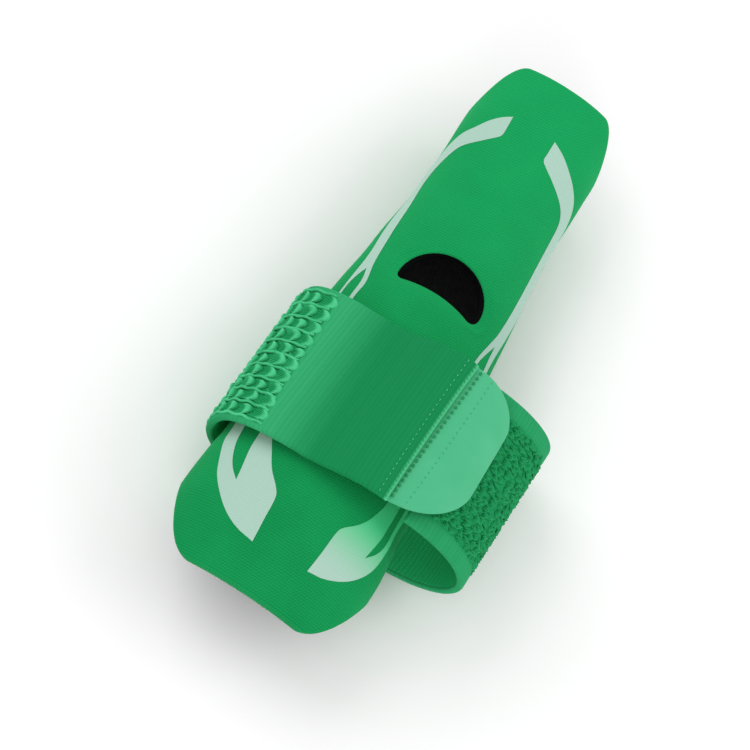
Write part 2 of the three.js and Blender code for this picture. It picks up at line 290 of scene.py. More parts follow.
def clothAxes(tree):  # the piece's own map, in mm: all of it, across or round the piece, and along it
    uv = addNode(tree, "ShaderNodeUVMap", uv_map="clothMm")
    axes = addNode(tree, "ShaderNodeSeparateXYZ", uv).outputs
    return uv, axes["X"], axes["Y"]


# Real wales stand about 0.3 mm apart and courses 0.25, too fine to show, so they are drawn coarser
jersey = {
    "wale": 0.42, "course": 0.34, "slant": 0.75, "waleShare": 0.6, "fibres": 3.3, "fibreShare": 1.3,
    "colours": ("#0A8244", "#17A65E"), "knitRange": (0.3, 2.4), "shadeRange": (0.2, 0.8),
    # patches make uneven tone; the tip gets painted light and the mouth painted shade, full at mouthAt mm
    # from the tip edge
    "patches": 0.12, "patchShare": 0.5, "tipPaintedLight": 0.2, "mouthPaintedShade": -0.25, "mouthAt": 78.0,
    "bump": (0.03, 0.5), "roughness": 0.85, "specular": 0.07,
    "sheen": 0.16, "sheenRoughness": 0.5, "sheenTint": "#7FE0AE",
}


def knitHeight(tree, uv, across, along):  # slanting wales, courses across them, and loose fibres
    slanted = addNode(tree, "ShaderNodeMath", along, jersey["slant"], across, operation="MULTIPLY_ADD")
    wales = humps(tree, slanted, jersey["wale"])
    courses = humps(tree, along, jersey["course"])
    knit = addNode(tree, "ShaderNodeMath", wales, jersey["waleShare"], courses, operation="MULTIPLY_ADD")
    fibres = addNode(tree, "ShaderNodeTexNoise", inputs={
        **noise, "Vector": uv, "Scale": jersey["fibres"], "Detail": 3.0})
    return addNode(tree, "ShaderNodeMath", fibres, jersey["fibreShare"], knit, operation="MULTIPLY_ADD")


def jerseyMaterial():  # polyester jersey laminated on foam: matte, with fine slanting knit lines, painted light at the tip and painted shade towards the mouth
    material, tree = startMaterial("polyesterJersey")
    uv, across, along = clothAxes(tree)
    knit = knitHeight(tree, uv, across, along)
    shade = addNode(tree, "ShaderNodeMapRange", knit, *jersey["knitRange"], *jersey["shadeRange"])
    patches = addNode(tree, "ShaderNodeTexNoise", inputs={**noise, "Vector": uv, "Scale": jersey["patches"]})
    blotch = addNode(tree, "ShaderNodeMath", patches, jersey["patchShare"], -jersey["patchShare"] / 2,
                     operation="MULTIPLY_ADD")
    # Painted light and shade along the sleeve: lighter at the tip, darker towards the mouth
    paintedShadeToMouth = addNode(tree, "ShaderNodeMapRange", along, 0.0, jersey["mouthAt"], jersey["tipPaintedLight"],
                      jersey["mouthPaintedShade"])
    blotchAndPaintedShading = addNode(tree, "ShaderNodeMath", blotch, paintedShadeToMouth, operation="ADD")
    share = addNode(tree, "ShaderNodeMath", shade, blotchAndPaintedShading, operation="ADD", use_clamp=True)
    finishMaterial(tree, share, knit, jersey, constants={
        "Sheen Weight": jersey["sheen"], "Sheen Roughness": jersey["sheenRoughness"],
        "Sheen Tint": linear(jersey["sheenTint"])})
    return material


lining = {  # its ribs are drawn coarser than the real 0.4 mm, so that they show
    "rib": 0.55, "grain": 4.0, "grainShare": 1.2, "cloud": 0.8, "colours": ("#303231", "#434644"),
    "bump": (0.03, 0.6), "roughness": 0.9, "specular": 0.1,
}


def liningMaterial():  # black knitted lining of the foam: dull and very dark
    material, tree = startMaterial("blackFoamLining")
    uv, across, along = clothAxes(tree)
    ribs = humps(tree, across, lining["rib"])
    fuzz = addNode(tree, "ShaderNodeTexNoise", inputs={
        **noise, "Vector": uv, "Scale": lining["grain"], "Detail": 3.0})
    grain = addNode(tree, "ShaderNodeMath", fuzz, lining["grainShare"], ribs, operation="MULTIPLY_ADD")
    cloud = addNode(tree, "ShaderNodeTexNoise", inputs={**noise, "Vector": uv, "Scale": lining["cloud"]})
    finishMaterial(tree, cloud, grain, lining)
    return material


cutFoam = {  # cells of a third of a millimetre, so 3000 in a metre
    "cells": 3000.0, "colours": ("#090A0A", "#121313"), "bump": (0.05, 0.5), "roughness": 0.95,
    "specular": 0.03,
}


def foamMaterial():  # the cut foam at the vent's edge: black and open-celled
    material, tree = startMaterial("cutFoamEdge")
    place = addNode(tree, "ShaderNodeTexCoord").outputs["Object"]
    cells = addNode(tree, "ShaderNodeTexNoise", inputs={**noise, "Vector": place, "Scale": cutFoam["cells"]})
    finishMaterial(tree, cells, cells, cutFoam)
    return material


ink = {  # the thin colour is where cloth shows through, brightened as painted light where the strap and tab shade it: past lowFrom, fading from thinFrom to thinTo, in mm
    "colours": ("#A2C6B5", "#B0CFC1"), "shadeRange": (0.1, 0.9), "thinInkAndLight": "#42CA85", "thinFrom": 62.5,
    "thinTo": 71.5, "lowFrom": 50.0, "bump": (0.012, 0.5), "roughness": 0.65, "specular": 0.12,
}


def printMaterial():  # screen-printed ink: pale and even, thinner towards the strap at the lower right, where its bright green is also painted light
    material, tree = startMaterial("screenPrintInk")
    uv, across, along = clothAxes(tree)
    knit = knitHeight(tree, uv, across, along)
    shade = addNode(tree, "ShaderNodeMapRange", knit, *jersey["knitRange"], *ink["shadeRange"])
    bare = addNode(tree, "ShaderNodeMapRange", along, ink["thinFrom"], ink["thinTo"], 1.0, 0.0,
                   interpolation_type="SMOOTHSTEP")
    onRight = addNode(tree, "ShaderNodeMath", across, 0.0, operation="GREATER_THAN")
    isLow = addNode(tree, "ShaderNodeMath", along, ink["lowFrom"], operation="GREATER_THAN")
    here = addNode(tree, "ShaderNodeMath", onRight, isLow, operation="MULTIPLY")
    # Thin ink, brightened as painted light
    thinInkAndLight = addNode(tree, "ShaderNodeMath", here, bare, operation="MULTIPLY")
    finishMaterial(tree, shade, knit, ink, [(thinInkAndLight, linear(ink["thinInkAndLight"]))])
    return material


# Real ribs stand about 0.45 mm apart and wefts 0.25, too fine to show, so they are drawn coarser
elastic = {
    "rib": 0.56, "weft": 0.31, "ribShare": 0.5, "fibres": 1.6, "fibreShare": 0.8, "weaveRange": (0.2, 2.0),
    "bands": 0.8, "bandShare": 1.4, "colours": ("#15844C", "#1A8A52"),
    # The pale pair colours the selvedges' paler tone, and a painted sheen on the bend that fades out past the
    # pile's end
    "stretchedColours": ("#30A268", "#39AB72"), "stretch": 8.0, "beside": 6.0, "selvedge": 0.55,
    "root": "#1C9156", "pileFade": 0.5, "edging": "#4CBF86", "edgingWidth": 0.55, "edgingFade": 0.2,
    "bump": (0.008, 0.5), "roughness": 0.75, "specular": 0.04,
}
# The inner face is painted much paler than the outer: painted light for a face that lies in shade
elasticInside = {"colours": ("#2AC178", "#3CD58C"), "bump": (0.03, 0.5), "roughness": 0.75, "specular": 0.05}


def weaveHeight(tree, uv, across, along):  # ribs across the band, broken into dots by the weft
    ribs = humps(tree, along, elastic["rib"])
    wefts = humps(tree, across, elastic["weft"])
    dots = addNode(tree, "ShaderNodeMath", ribs, wefts, operation="MULTIPLY")
    weave = addNode(tree, "ShaderNodeMath", ribs, elastic["ribShare"], dots, operation="MULTIPLY_ADD")
    fibres = addNode(tree, "ShaderNodeTexNoise", inputs={
        **noise, "Vector": uv, "Scale": elastic["fibres"], "Detail": 3.0})
    return addNode(tree, "ShaderNodeMath", fibres, elastic["fibreShare"], weave, operation="MULTIPLY_ADD")


def elasticMaterial():  # woven nylon elastic: paler on its selvedges, and painted sheen on the bend just past the pile's end
    material, tree = startMaterial("wovenElastic")
    uv, across, along = clothAxes(tree)
    weave = weaveHeight(tree, uv, across, along)
    shade = addNode(tree, "ShaderNodeMapRange", weave, *elastic["weaveRange"])
    onlyAlong = addNode(tree, "ShaderNodeCombineXYZ", inputs={"Y": along})
    bands = addNode(tree, "ShaderNodeTexNoise", inputs={
        **noise, "Vector": onlyAlong, "Scale": elastic["bands"], "Detail": 1.0})
    banded = addNode(tree, "ShaderNodeMath", bands, elastic["bandShare"], -elastic["bandShare"] / 2,
                     operation="MULTIPLY_ADD")
    share = addNode(tree, "ShaderNodeMath", shade, banded, operation="ADD", use_clamp=True)
    # Pale colours for the selvedges, and for the painted sheen on the bend past the pile's end
    dark, light = map(linear, elastic["stretchedColours"])
    pale = addNode(tree, "ShaderNodeMix", share, inputs={6: dark, 7: light}, data_type="RGBA").outputs[2]
    atEnd = addNode(tree, "ShaderNodeMapRange", along, strapLength - elastic["edgingWidth"],
                    strapLength - elastic["edgingFade"], interpolation_type="SMOOTHSTEP")
    stretched = addNode(tree, "ShaderNodeAttribute", attribute_name="stretched").outputs["Fac"]
    piled = addNode(tree, "ShaderNodeAttribute", attribute_name="piled").outputs["Fac"]
    finishMaterial(tree, share, weave, elastic, [
        (stretched, pale), (piled, linear(elastic["root"])), (atEnd, linear(elastic["edging"]))])
    return material


def elasticInsideMaterial():  # the same elastic's inner face: a plain weave, painted much paler as painted light, since it lies in shade
    material, tree = startMaterial("wovenElasticInside")
    weave = weaveHeight(tree, *clothAxes(tree))
    shade = addNode(tree, "ShaderNodeMapRange", weave, *elastic["weaveRange"])
    finishMaterial(tree, shade, weave, elasticInside)
    return material


pileLoops = {  # strands of about 0.19 mm and patches of 1.9 mm, so 5200 and 520 in a metre
    "strands": 5200.0, "patches": 520.0, "patchShare": 1.2, "crownPaintedLightRange": (0.35, 1.0),
    "shadeRange": (0.0, 0.95), "bump": (0.05, 0.5), "roughness": 0.7, "specular": 0.06,
}


def pileMaterial(name, colours):  # brushed nylon loops: painted light on their crowns and painted shade at their roots
    material, tree = startMaterial(name)
    place = addNode(tree, "ShaderNodeTexCoord").outputs["Object"]
    strands, patches = (addNode(tree, "ShaderNodeTexNoise", inputs={**noise, "Vector": place, "Scale": scale})
                        for scale in (pileLoops["strands"], pileLoops["patches"]))
    crown = addNode(tree, "ShaderNodeAttribute", attribute_name="crown").outputs["Fac"]
    # Painted light and shade: the higher a strand point stands, the paler it is painted
    rise = addNode(tree, "ShaderNodeMapRange", crown, *pileLoops["crownPaintedLightRange"], *pileLoops["shadeRange"])
    uneven = addNode(tree, "ShaderNodeMath", patches, pileLoops["patchShare"], -pileLoops["patchShare"] / 2,
                     operation="MULTIPLY_ADD")
    share = addNode(tree, "ShaderNodeMath", rise, uneven, operation="ADD", use_clamp=True)
    finishMaterial(tree, share, strands, {**pileLoops, "colours": colours})
    return material


backing = {
    "cloud": 0.16, "grain": 2.6, "colours": ("#3FB17B", "#53BA8B"), "bump": (0.01, 0.4), "roughness": 0.45,
    "specular": 0.2,
}


def tabMaterial():  # moulded nylon backing of the hook tape: smooth and satin, a little cloudy
    material, tree = startMaterial("nylonTapeBacking")
    uv = clothAxes(tree)[0]
    cloud = addNode(tree, "ShaderNodeTexNoise", inputs={**noise, "Vector": uv, "Scale": backing["cloud"]})
    grain = addNode(tree, "ShaderNodeTexNoise", inputs={
        **noise, "Vector": uv, "Scale": backing["grain"], "Detail": 3.0})
    finishMaterial(tree, cloud, grain, backing)
    return material


sewingThread = {  # twists of about 0.28 mm, so 3600 in a metre
    "twists": 3600.0, "bump": (0.02, 0.5), "roughness": 0.55, "specular": 0.2,
}


def threadMaterial(name, colours):  # twisted polyester sewing thread
    material, tree = startMaterial(name)
    place = addNode(tree, "ShaderNodeTexCoord").outputs["Object"]
    twist = addNode(tree, "ShaderNodeTexNoise", inputs={
        **noise, "Vector": place, "Scale": sewingThread["twists"], "Detail": 1.0})
    finishMaterial(tree, twist, twist, {**sewingThread, "colours": colours})
    return material


# Sleeve

vent = {
    "width": 12.1, "height": 6.0, "sag": 0.6, "leftCorner": 0.7, "rightCorner": 1.2, "fromTip": 33.5,
    "aside": 0.35, "middle": 0.52, "margin": 2.0, "outline": 160, "loops": 9, "closer": 1.5,
    "edgeRadius": 0.35, "dip": 0.22, "dipReach": 1.1, "pucker": 0.15, "puckerFrom": 1.15,
    "puckerWidth": 0.3, "puckerIn": 0.32, "puckerOut": 0.5,
}


def ventOutline(count):  # x to the side, y towards the mouth, from the sleeve's middle line and tip edge
    half, height, tight, wide = vent["width"] / 2, vent["height"], vent["leftCorner"], vent["rightCorner"]
    swing = np.linspace(0, math.pi, count)
    corner = mix(tight, wide, (1 + np.cos(swing)) / 2)
    top = np.stack([half * np.cos(swing), corner + (height - corner) * np.sin(swing)], -1)

    def bend(a, b, c, steps):
        t = np.linspace(0, 1, steps)[1:, None]
        return (1 - t) ** 2 * np.array(a) + 2 * t * (1 - t) * np.array(b) + t ** 2 * np.array(c)

    left = bend((-half, tight), (-half, 0), (-half + tight, 0), count // 6)
    low = bend((-half + tight, 0), (0, 2 * vent["sag"]), (half - wide, 0), count)
    right = bend((half - wide, 0), (half, 0), (half, wide), count // 6)
    shape = np.concatenate([top, left, low, right[:-1]])
    return np.stack([vent["aside"] + shape[:, 0], vent["fromTip"] - shape[:, 1]], -1)


def frontTurn(x, at):  # the turn of a place on the front that is x mm to the side
    share = np.clip(np.abs(x) / sectionAt(at)[0], 0, 1)
    return np.sign(x) * np.arcsin(share ** (sleeve["frontRound"] / 2))


def ventLoops(block):  # block: the outline's places (x, y) on the grid round the vent
    outline = ventOutline(vent["outline"])
    centre = np.array([vent["aside"], vent["fromTip"] - vent["middle"] * vent["height"]])
    ahead = np.roll(outline, -2, axis=0) - np.roll(outline, 2, axis=0)
    normal = np.stack([ahead[:, 1], -ahead[:, 0]], -1)
    normal /= np.linalg.norm(normal, axis=1)[:, None]
    if np.mean(np.sum(normal * (outline - centre), axis=1)) < 0:
        normal = -normal
    angle = np.arctan2(*(outline - centre).T[::-1])
    order = np.argsort(angle)
    at = np.arctan2(*(block - centre).T[::-1])
    edge, out = (np.stack([np.interp(at, angle[order], part[order, axis], period=2 * math.pi)
                           for axis in (0, 1)], -1) for part in (outline, normal))
    r, wall = vent["edgeRadius"], sleeve["wall"]
    steps = [1 - (1 - step / vent["loops"]) ** vent["closer"] for step in range(1, vent["loops"] + 1)]

    def rolled(swing):  # over the rounded edge, from 0 on the cloth to 90 in the hole
        turn = math.radians(swing)
        return edge + r * (1 - math.sin(turn)) * out, r * (1 - math.cos(turn))

    # Each loop has its place, its inset, and the cloth that follows it: 0 the face, 1 the lining, 2 the foam
    loops = [(mix(block, edge + r * out, share), 0.0, 0) for share in steps]
    loops += [(*rolled(swing), slot) for swing, slot in ((30, 0), (60, 0), (90, 2))]
    loops.append((edge, wall / 2, 2))
    for place, inset in map(rolled, (90, 45, 0)):
        loops.append((place, wall - inset, 2))
    loops += [(mix(block, edge + r * out, share), wall, 1) for share in steps[-2::-1]]
    return loops, edge


def makeSleeve(face, lined, foam):
    n, m = sleeve["around"], sleeve["along"]
    turns = (np.arange(n) + 0.5) / n * 2 * math.pi - math.pi
    reach = sleeve["rimReach"] / sleeve["length"]
    tipEdge = flapDrop(turns, sleeve["tipFlap"]) / sleeve["length"] + reach
    mouthEdge = 1 - flapDrop(turns, sleeve["mouthFlap"]) / sleeve["length"] - reach
    at = mix(tipEdge, mouthEdge, np.linspace(0, 1, m + 1)[:, None])
    rows = [(row, 0.0, 0) for row in at]
    rims = []  # round the cut edges: how far out, how deep, and which cloth
    for swing in np.radians(np.linspace(0, 180, sleeve["rimLoops"] + 2)[1:-1]):
        rims.append((reach * math.sin(swing) ** sleeve["rimRound"],
                     sleeve["wall"] * (1 - math.cos(swing)) / 2, 1 if swing > sleeve["faceWrap"] else 0))
    rows += [(mouthEdge + out, inset, slot) for out, inset, slot in rims]
    rows += [(row, sleeve["wall"], 1) for row in at[::-1]]
    rows += [(tipEdge - out, inset, slot) for out, inset, slot in rims[::-1]]
    points = np.concatenate([sleevePoint(row, turns, inset) for row, inset, slot in rows])
    aside = np.concatenate([asideOf(row, turns) for row, inset, slot in rows])
    fromTip = np.concatenate([row * sleeve["length"] for row, inset, slot in rows])

    # The block of the grid that makes room for the vent
    x = points.reshape(len(rows), n, 3)[m // 2, :, 0]
    front = np.abs(turns) < math.pi / 2
    sideways = np.flatnonzero(front & (np.abs(x - vent["aside"]) < vent["width"] / 2 + vent["margin"]))
    middleRow = at[:, n // 2] * sleeve["length"]
    lengthways = np.flatnonzero((middleRow > vent["fromTip"] - vent["height"] - vent["margin"])
                                & (middleRow < vent["fromTip"] + vent["margin"]))
    i0, i1 = sideways[0], sideways[-1]
    k0, k1 = lengthways[0], lengthways[-1]
    ring = ringAround(k0, k1, i0, i1)

    quads, slots = [], []
    innerFirst = m + 1 + sleeve["rimLoops"]
    for r in range(len(rows)):
        onOuter, onInner = k0 <= r < k1, innerFirst + m - k1 <= r < innerFirst + m - k0
        for i in range(n):
            if (onOuter or onInner) and i0 <= i < i1:
                continue
            j, s = (i + 1) % n, (r + 1) % len(rows)
            quads.append((r * n + i, s * n + i, s * n + j, r * n + j))
            slots.append(max(rows[r][2], rows[s][2]))
    block = np.array([(points[k * n + i, 0], fromTip[k * n + i]) for k, i in ring])
    loops, edge = ventLoops(block)
    innerRing = [(innerFirst + m - k) * n + i for k, i in ring]
    before, count, previousSlot = [k * n + i for k, i in ring], len(ring), 0
    for place, inset, slot in loops:
        placeAt = place[:, 1] / sleeve["length"]
        turn = frontTurn(place[:, 0], placeAt)
        away = np.linalg.norm(place - edge, axis=1)
        dip = vent["dip"] * np.exp(-(away / vent["dipReach"]) ** 2)
        toEnds = np.abs(place[:, 0] - vent["aside"]) / vent["width"]
        atEnds = smoothstep(toEnds, vent["puckerIn"], vent["puckerOut"])
        pucker = vent["pucker"] * atEnds * np.exp(-((away - vent["puckerFrom"]) / vent["puckerWidth"]) ** 2)
        here = list(range(len(points), len(points) + count))
        points = np.concatenate([points, sleevePoint(placeAt, turn, inset + dip - pucker)])
        aside = np.concatenate([aside, asideOf(placeAt, turn)])
        fromTip = np.concatenate([fromTip, place[:, 1]])
        for a in range(count):
            b = (a + 1) % count
            quads.append((before[b], before[a], here[a], here[b]))
            slots.append(slot if inset > sleeve["wall"] / 2 else max(slot, previousSlot))
        before, previousSlot = here, slot
    for a in range(count):
        b = (a + 1) % count
        quads.append((before[b], before[a], innerRing[a], innerRing[b]))
        slots.append(1)

    quads = np.array(quads)
    used, flat = np.unique(quads, return_inverse=True)
    quads = flat.reshape(quads.shape)
    points, aside, fromTip = points[used], aside[used], fromTip[used]
    corners = points[quads]
    crossed = np.cross(corners[:, 1], corners[:, 2]) + np.cross(corners[:, 2], corners[:, 3])
    if np.sum(corners[:, 0] * crossed) < 0:  # its volume, below nought where the faces point inwards
        quads = quads[:, ::-1]
    u = aside[quads]
    atJoin = (np.ptp(u, axis=1) > sleeve["mouthWidth"] / 2)[:, None]  # where the back's two sides meet
    u = np.where(atJoin, np.abs(u), u)
    uvs = np.stack([u, fromTip[quads]], -1)
    return makeObject("sleeve_cloth", inRow(points), quads, [face, lined, foam], slots, uvs)


# Side stripes: each edge is a smooth line through places, given as mm from the tip edge and mm round from
# the front's middle line. The slit is the gap where a stripe splits in two.

sideStripes = {
    "step": 0.35, "across": 5, "above": 0.035, "slitClear": 0.15, "slitBefore": 4, "slitAfter": 5,
    "weld": 0.0001, "sliver": 0.001,
    "right": {
        "inner": [(7.2, 1.95), (9.0, 2.0), (10.2, 2.1), (10.7, 2.8), (12.2, 5.5), (13.4, 7.5), (14.8, 8.7),
                  (17, 9.2), (22, 9.65), (28, 9.85), (32, 9.75), (34.2, 9.3), (36.6, 8.9), (44, 8.9),
                  (54, 9.5), (60.4, 9.3), (63, 8.55), (64.8, 7.5), (66.4, 5.95), (67.4, 5.65), (70, 5.5),
                  (72.8, 5.25)],
        "outer": [(7.2, 1.95), (8.0, 3.75), (9.2, 5.75), (10.4, 7.65), (11.6, 9.2), (13, 10.3), (15, 11.3),
                  (18, 12.1), (24, 12.3), (28, 12.2), (31.5, 11.8), (35, 11.6), (44, 12.4), (54, 13.3),
                  (62, 13.45), (66, 13.2), (67.6, 12.75), (69, 11.95), (70.4, 10.7), (71.6, 9.05),
                  (72.5, 7.0), (72.8, 5.25)],
        "slitInner": [(33.4, 10.4), (35.2, 9.75), (37, 9.4), (44, 10.1), (54, 11.1), (61, 11.5),
                      (64, 11.3), (67.2, 10.7)],
        "slitOuter": [(33.4, 10.4), (35.2, 10.6), (37, 10.9), (44, 11.2), (54, 12.1), (61, 12.6),
                      (64.4, 12.45), (65.8, 11.9), (67.2, 10.7)],
    },
    "left": {
        "inner": [(7.2, 4.1), (9.0, 4.0), (10.2, 4.05), (10.8, 4.6), (12.2, 6.3), (13.4, 8.0), (14.6, 8.9),
                  (17, 9.8), (20, 10.2), (24, 9.8), (28, 9.5), (33, 9.1), (36.2, 8.45), (38.5, 8.7),
                  (44, 9.0), (54, 8.6), (60.9, 7.75), (63.6, 6.25), (65.2, 5.15), (66.6, 3.7), (67.6, 3.0),
                  (70.4, 2.7), (73.5, 2.4)],
        "outer": [(7.2, 4.1), (7.8, 5.2), (8.8, 6.45), (10.4, 7.9), (11.6, 9.3), (13, 10.4), (15, 11.5),
                  (18, 12.2), (22, 11.9), (28, 11.3), (32, 10.8), (36, 10.9), (40, 11.3), (48, 12.9),
                  (56, 13.9), (61, 13.85), (63.8, 13.35), (66.4, 12.1), (68.4, 10.95), (70.4, 9.1),
                  (71.8, 7.4), (72.7, 5.8), (73.2, 4.3), (73.5, 2.4)],
        "slitInner": [(34.2, 9.6), (35.6, 9.2), (37.2, 9.15), (42, 9.6), (52, 10.0), (61, 9.4), (64, 9.1),
                      (66.6, 8.6), (68.1, 8.35)],
        "slitOuter": [(34.2, 9.6), (35.6, 10.2), (37.2, 10.6), (42, 11.0), (52, 12.0), (61, 11.9),
                      (63.2, 11.5), (65.4, 10.65), (66.9, 9.65), (68.1, 8.35)],
    },
}


def makeStripes(material):
    points, quads, aside, along = [], [], [], []
    shares = np.linspace(0, 1, sideStripes["across"] + 1)
    for side, sign, order in (("right", 1, (0, 3, 2, 1)), ("left", -1, (1, 2, 3, 0))):
        edges = sideStripes[side]
        start, end = edges["inner"][0][0], edges["inner"][-1][0]
        (slitStart, slitFrom), (slitEnd, slitTo) = edges["slitInner"][0], edges["slitInner"][-1]
        marks = np.linspace(start, end, int((end - start) / sideStripes["step"]))
        for slitMark in (slitStart, slitEnd):  # a row at each end of the slit, and none close to it
            clear = np.abs(marks - slitMark) > sideStripes["slitClear"]
            marks = np.unique(np.r_[marks[clear], slitMark])
        lines = {}
        for name in ("inner", "outer", "slitInner", "slitOuter"):
            rows = [{"at": at, "aside": out} for at, out in edges[name]]
            lines[name] = readTable(rows, marks, "aside")
        middle = (lines["inner"] + lines["outer"]) / 2
        before = mix(middle, slitFrom, smoothstep(marks, slitStart - sideStripes["slitBefore"], slitStart))
        after = mix(slitTo, middle, smoothstep(marks, slitEnd, slitEnd + sideStripes["slitAfter"]))
        middle = np.where(marks <= slitStart, before, np.where(marks >= slitEnd, after, middle))
        slit = (marks > slitStart) & (marks < slitEnd)
        nearSide = np.where(slit, lines["slitInner"], middle)
        farSide = np.where(slit, lines["slitOuter"], middle)
        for low, high in ((lines["inner"], nearSide), (farSide, lines["outer"])):
            quads.append(gridQuads(len(marks), len(shares), order, len(points)))
            for mark, a, b in zip(marks, low, high):
                at = mark / sleeve["length"]
                for place in sign * mix(a, b, shares):
                    points.append(sleevePoint(at, turnOf(at, place), -sideStripes["above"]))
                    aside.append(place)
                    along.append(mark)
    quads = np.concatenate(quads)
    uvs = np.stack([np.array(aside)[quads], np.array(along)[quads]], -1)
    made = makeObject("side_stripes", inRow(points), quads, [material], uvs=uvs)
    shape = bmesh.new()
    shape.from_mesh(made.data)
    bmesh.ops.remove_doubles(shape, verts=shape.verts, dist=sideStripes["weld"] * mm)
    bmesh.ops.dissolve_degenerate(shape, edges=shape.edges, dist=sideStripes["sliver"] * mm)
    shape.to_mesh(made.data)
    shape.free()
    return made


# The strap's route: the line of its inner face round the finger, once for each of some rows across it

route = {
    "rows": 45, "steps": 720, "near": 0.5, "frontSteps": 24, "bulgeSteps": 64, "bendSteps": 28,
    "topSteps": 56, "lapSteps": 28,
}


def strapFrame(y):  # the sizes that the route needs at one place, y mm from the tip edge
    flank, rise, middle = (float(part) for part in sectionAt(-y / sleeve["length"]))
    along = min(1.0, max(0.0, (-y - strap["fromTip"]) / strap["width"]))
    wideFlank = float(sectionAt((strap["fromTip"] + strap["width"] / 2) / sleeve["length"])[0])
    crown = middle + rise + strap["gap"]
    return {
        "flank": flank, "rise": rise, "middle": middle, "crown": crown,
        "top": crown + mix(strap["riseTip"], strap["riseMouth"], along),
        "tight": flank + strap["gap"] + mix(strap["slackTip"], strap["slackMouth"], along),
        "shoulder": mix(strap["shoulderTip"], strap["shoulderMouth"], along) + strap["crease"] * (
            1 - smoothstep(along, 0, strap["creaseReach"] / strap["width"])),
        "reach": wideFlank + strap["stand"] - strap["thickness"],
        "backRight": strap["bulgeCentre"] * wideFlank, "backLeft": -strap["backFlat"] * wideFlank,
        "lap": mix(tab["lapTip"], tab["lapMouth"], along),
    }


def leavingFront(at, x):  # the inner face's height over the front, and where it leaves it
    share = np.minimum(1, np.abs(x) / (at["flank"] + strap["gap"]))
    squareness = sleeve["frontRound"]
    lying = at["middle"] + (at["rise"] + strap["gap"]) * (1 - share ** squareness) ** (1 / squareness)
    away = smoothstep(x, strap["leaveFrom"] * at["flank"], strap["levelFrom"] * at["flank"])
    return mix(lying, at["top"], away)


def arc(centreX, centreZ, reachX, reachZ, fromTurn, toTurn, squareness, steps):
    swing = np.radians(np.linspace(fromTurn, toTurn, steps + 1))
    x = centreX + reachX * rounded(np.sin(swing), squareness)
    return np.stack([x, centreZ + reachZ * rounded(np.cos(swing), squareness)], -1)


def resampled(line, distances):
    marks = np.r_[0, np.cumsum(np.linalg.norm(np.diff(line, axis=0), axis=1))]
    return np.stack([np.interp(distances, marks, line[:, k]) for k in (0, 1)], -1), marks[-1]


def standingOn(line, distances):  # points of the line, and the direction away from the finger there
    length = resampled(line, [0])[1]
    here = np.clip(distances, route["near"], length - route["near"])
    ahead = resampled(line, here + route["near"])[0] - resampled(line, here - route["near"])[0]
    ahead /= np.linalg.norm(ahead, axis=1)[:, None]
    return resampled(line, distances)[0], np.stack([-ahead[:, 1], ahead[:, 0]], -1)


def firstRun(at):  # from the strap's start, and round the loose bulge
    start, centre = strap["start"] * at["flank"], at["backRight"]
    x = np.linspace(start, centre, route["frontSteps"] + 1)[:-1]
    front = np.stack([x, leavingFront(at, x)], -1)
    half = (at["top"] - strap["thickness"]) / 2
    bulge = arc(centre, strap["thickness"] + half, at["reach"] - centre, half, 0, 180, 2, route["bulgeSteps"])
    return np.concatenate([front, bulge])


def restOfRun(at):  # along the back, round the left side, over the front and onto the tab
    corner, climb, steps = at["backLeft"], strap["climbFrom"] * at["flank"], route["bendSteps"]
    low = arc(corner, at["middle"], at["tight"] + corner, at["middle"] - strap["thickness"],
              180, 270, 2, steps)
    shoulder = at["shoulder"]
    atClimb = math.degrees(math.asin((-climb / at["tight"]) ** (shoulder / 2)))
    high = arc(0, at["middle"], at["tight"], at["crown"] - at["middle"], 270, 360 - atClimb, shoulder, steps)
    toTab = strap["start"] * at["flank"] + tab["behind"]
    x = np.linspace(climb, toTab + at["lap"], route["topSteps"] + 1)
    below = np.stack([x, leavingFront(at, x)], -1)
    length = resampled(below, [0])[1]
    point, out = standingOn(below, np.linspace(0, length, route["lapSteps"] + 1))
    overTab = strap["thickness"] + tab["thickness"] + 2 * strap["gap"]
    climbed = smoothstep(point[:, 0], climb, toTab - strap["gap"])
    atStart = high[-1, 1] - leavingFront(at, climb)
    return np.concatenate([low, high[1:-1], point + out * mix(atStart, overTab, climbed)[:, None]])


routeYs = np.linspace(-strap["fromTip"] - strap["width"], -strap["fromTip"], route["rows"])
routePoints = np.zeros((route["rows"], route["steps"] + 1, 3))
routeOuts = np.zeros_like(routePoints)
routeLengths = np.zeros(route["rows"])
for row, rowY in enumerate(routeYs):
    rowFrame = strapFrame(rowY)
    rowLine = np.concatenate([firstRun(rowFrame), restOfRun(rowFrame)])
    routeLengths[row] = resampled(rowLine, [0])[1]
    flatPoints, flatOuts = standingOn(rowLine, np.linspace(0, routeLengths[row], route["steps"] + 1))
    routePoints[row, :, [0, 2]], routePoints[row, :, 1] = flatPoints.T, rowY
    routeOuts[row, :, [0, 2]] = flatOuts.T
strapLength = float(routeLengths.mean())
print("strap's route,", round(strapLength, 1), "mm")


def onStrap(along, across, height):  # mm along the strap, mm from its mouth edge, mm above its inner face
    along, across, height = np.broadcast_arrays(*(np.asarray(v, float) for v in (along, across, height)))
    j = np.clip(along / strapLength, 0, 1) * route["steps"]
    k = np.clip(across / strap["width"], 0, 1) * (route["rows"] - 1)
    j0, k0 = np.minimum(j.astype(int), route["steps"] - 1), np.minimum(k.astype(int), route["rows"] - 2)
    s, t = (j - j0)[..., None], (k - k0)[..., None]

    def read(table):
        low, high = (mix(table[k, j0], table[k, j0 + 1], s) for k in (k0, k0 + 1))
        return mix(low, high, t)

    out = read(routeOuts)
    out /= np.linalg.norm(out, axis=-1)[..., None]
    return read(routePoints) + out * height[..., None], out


# Strap: one woven band, with loop pile on its outer face up to its smooth end

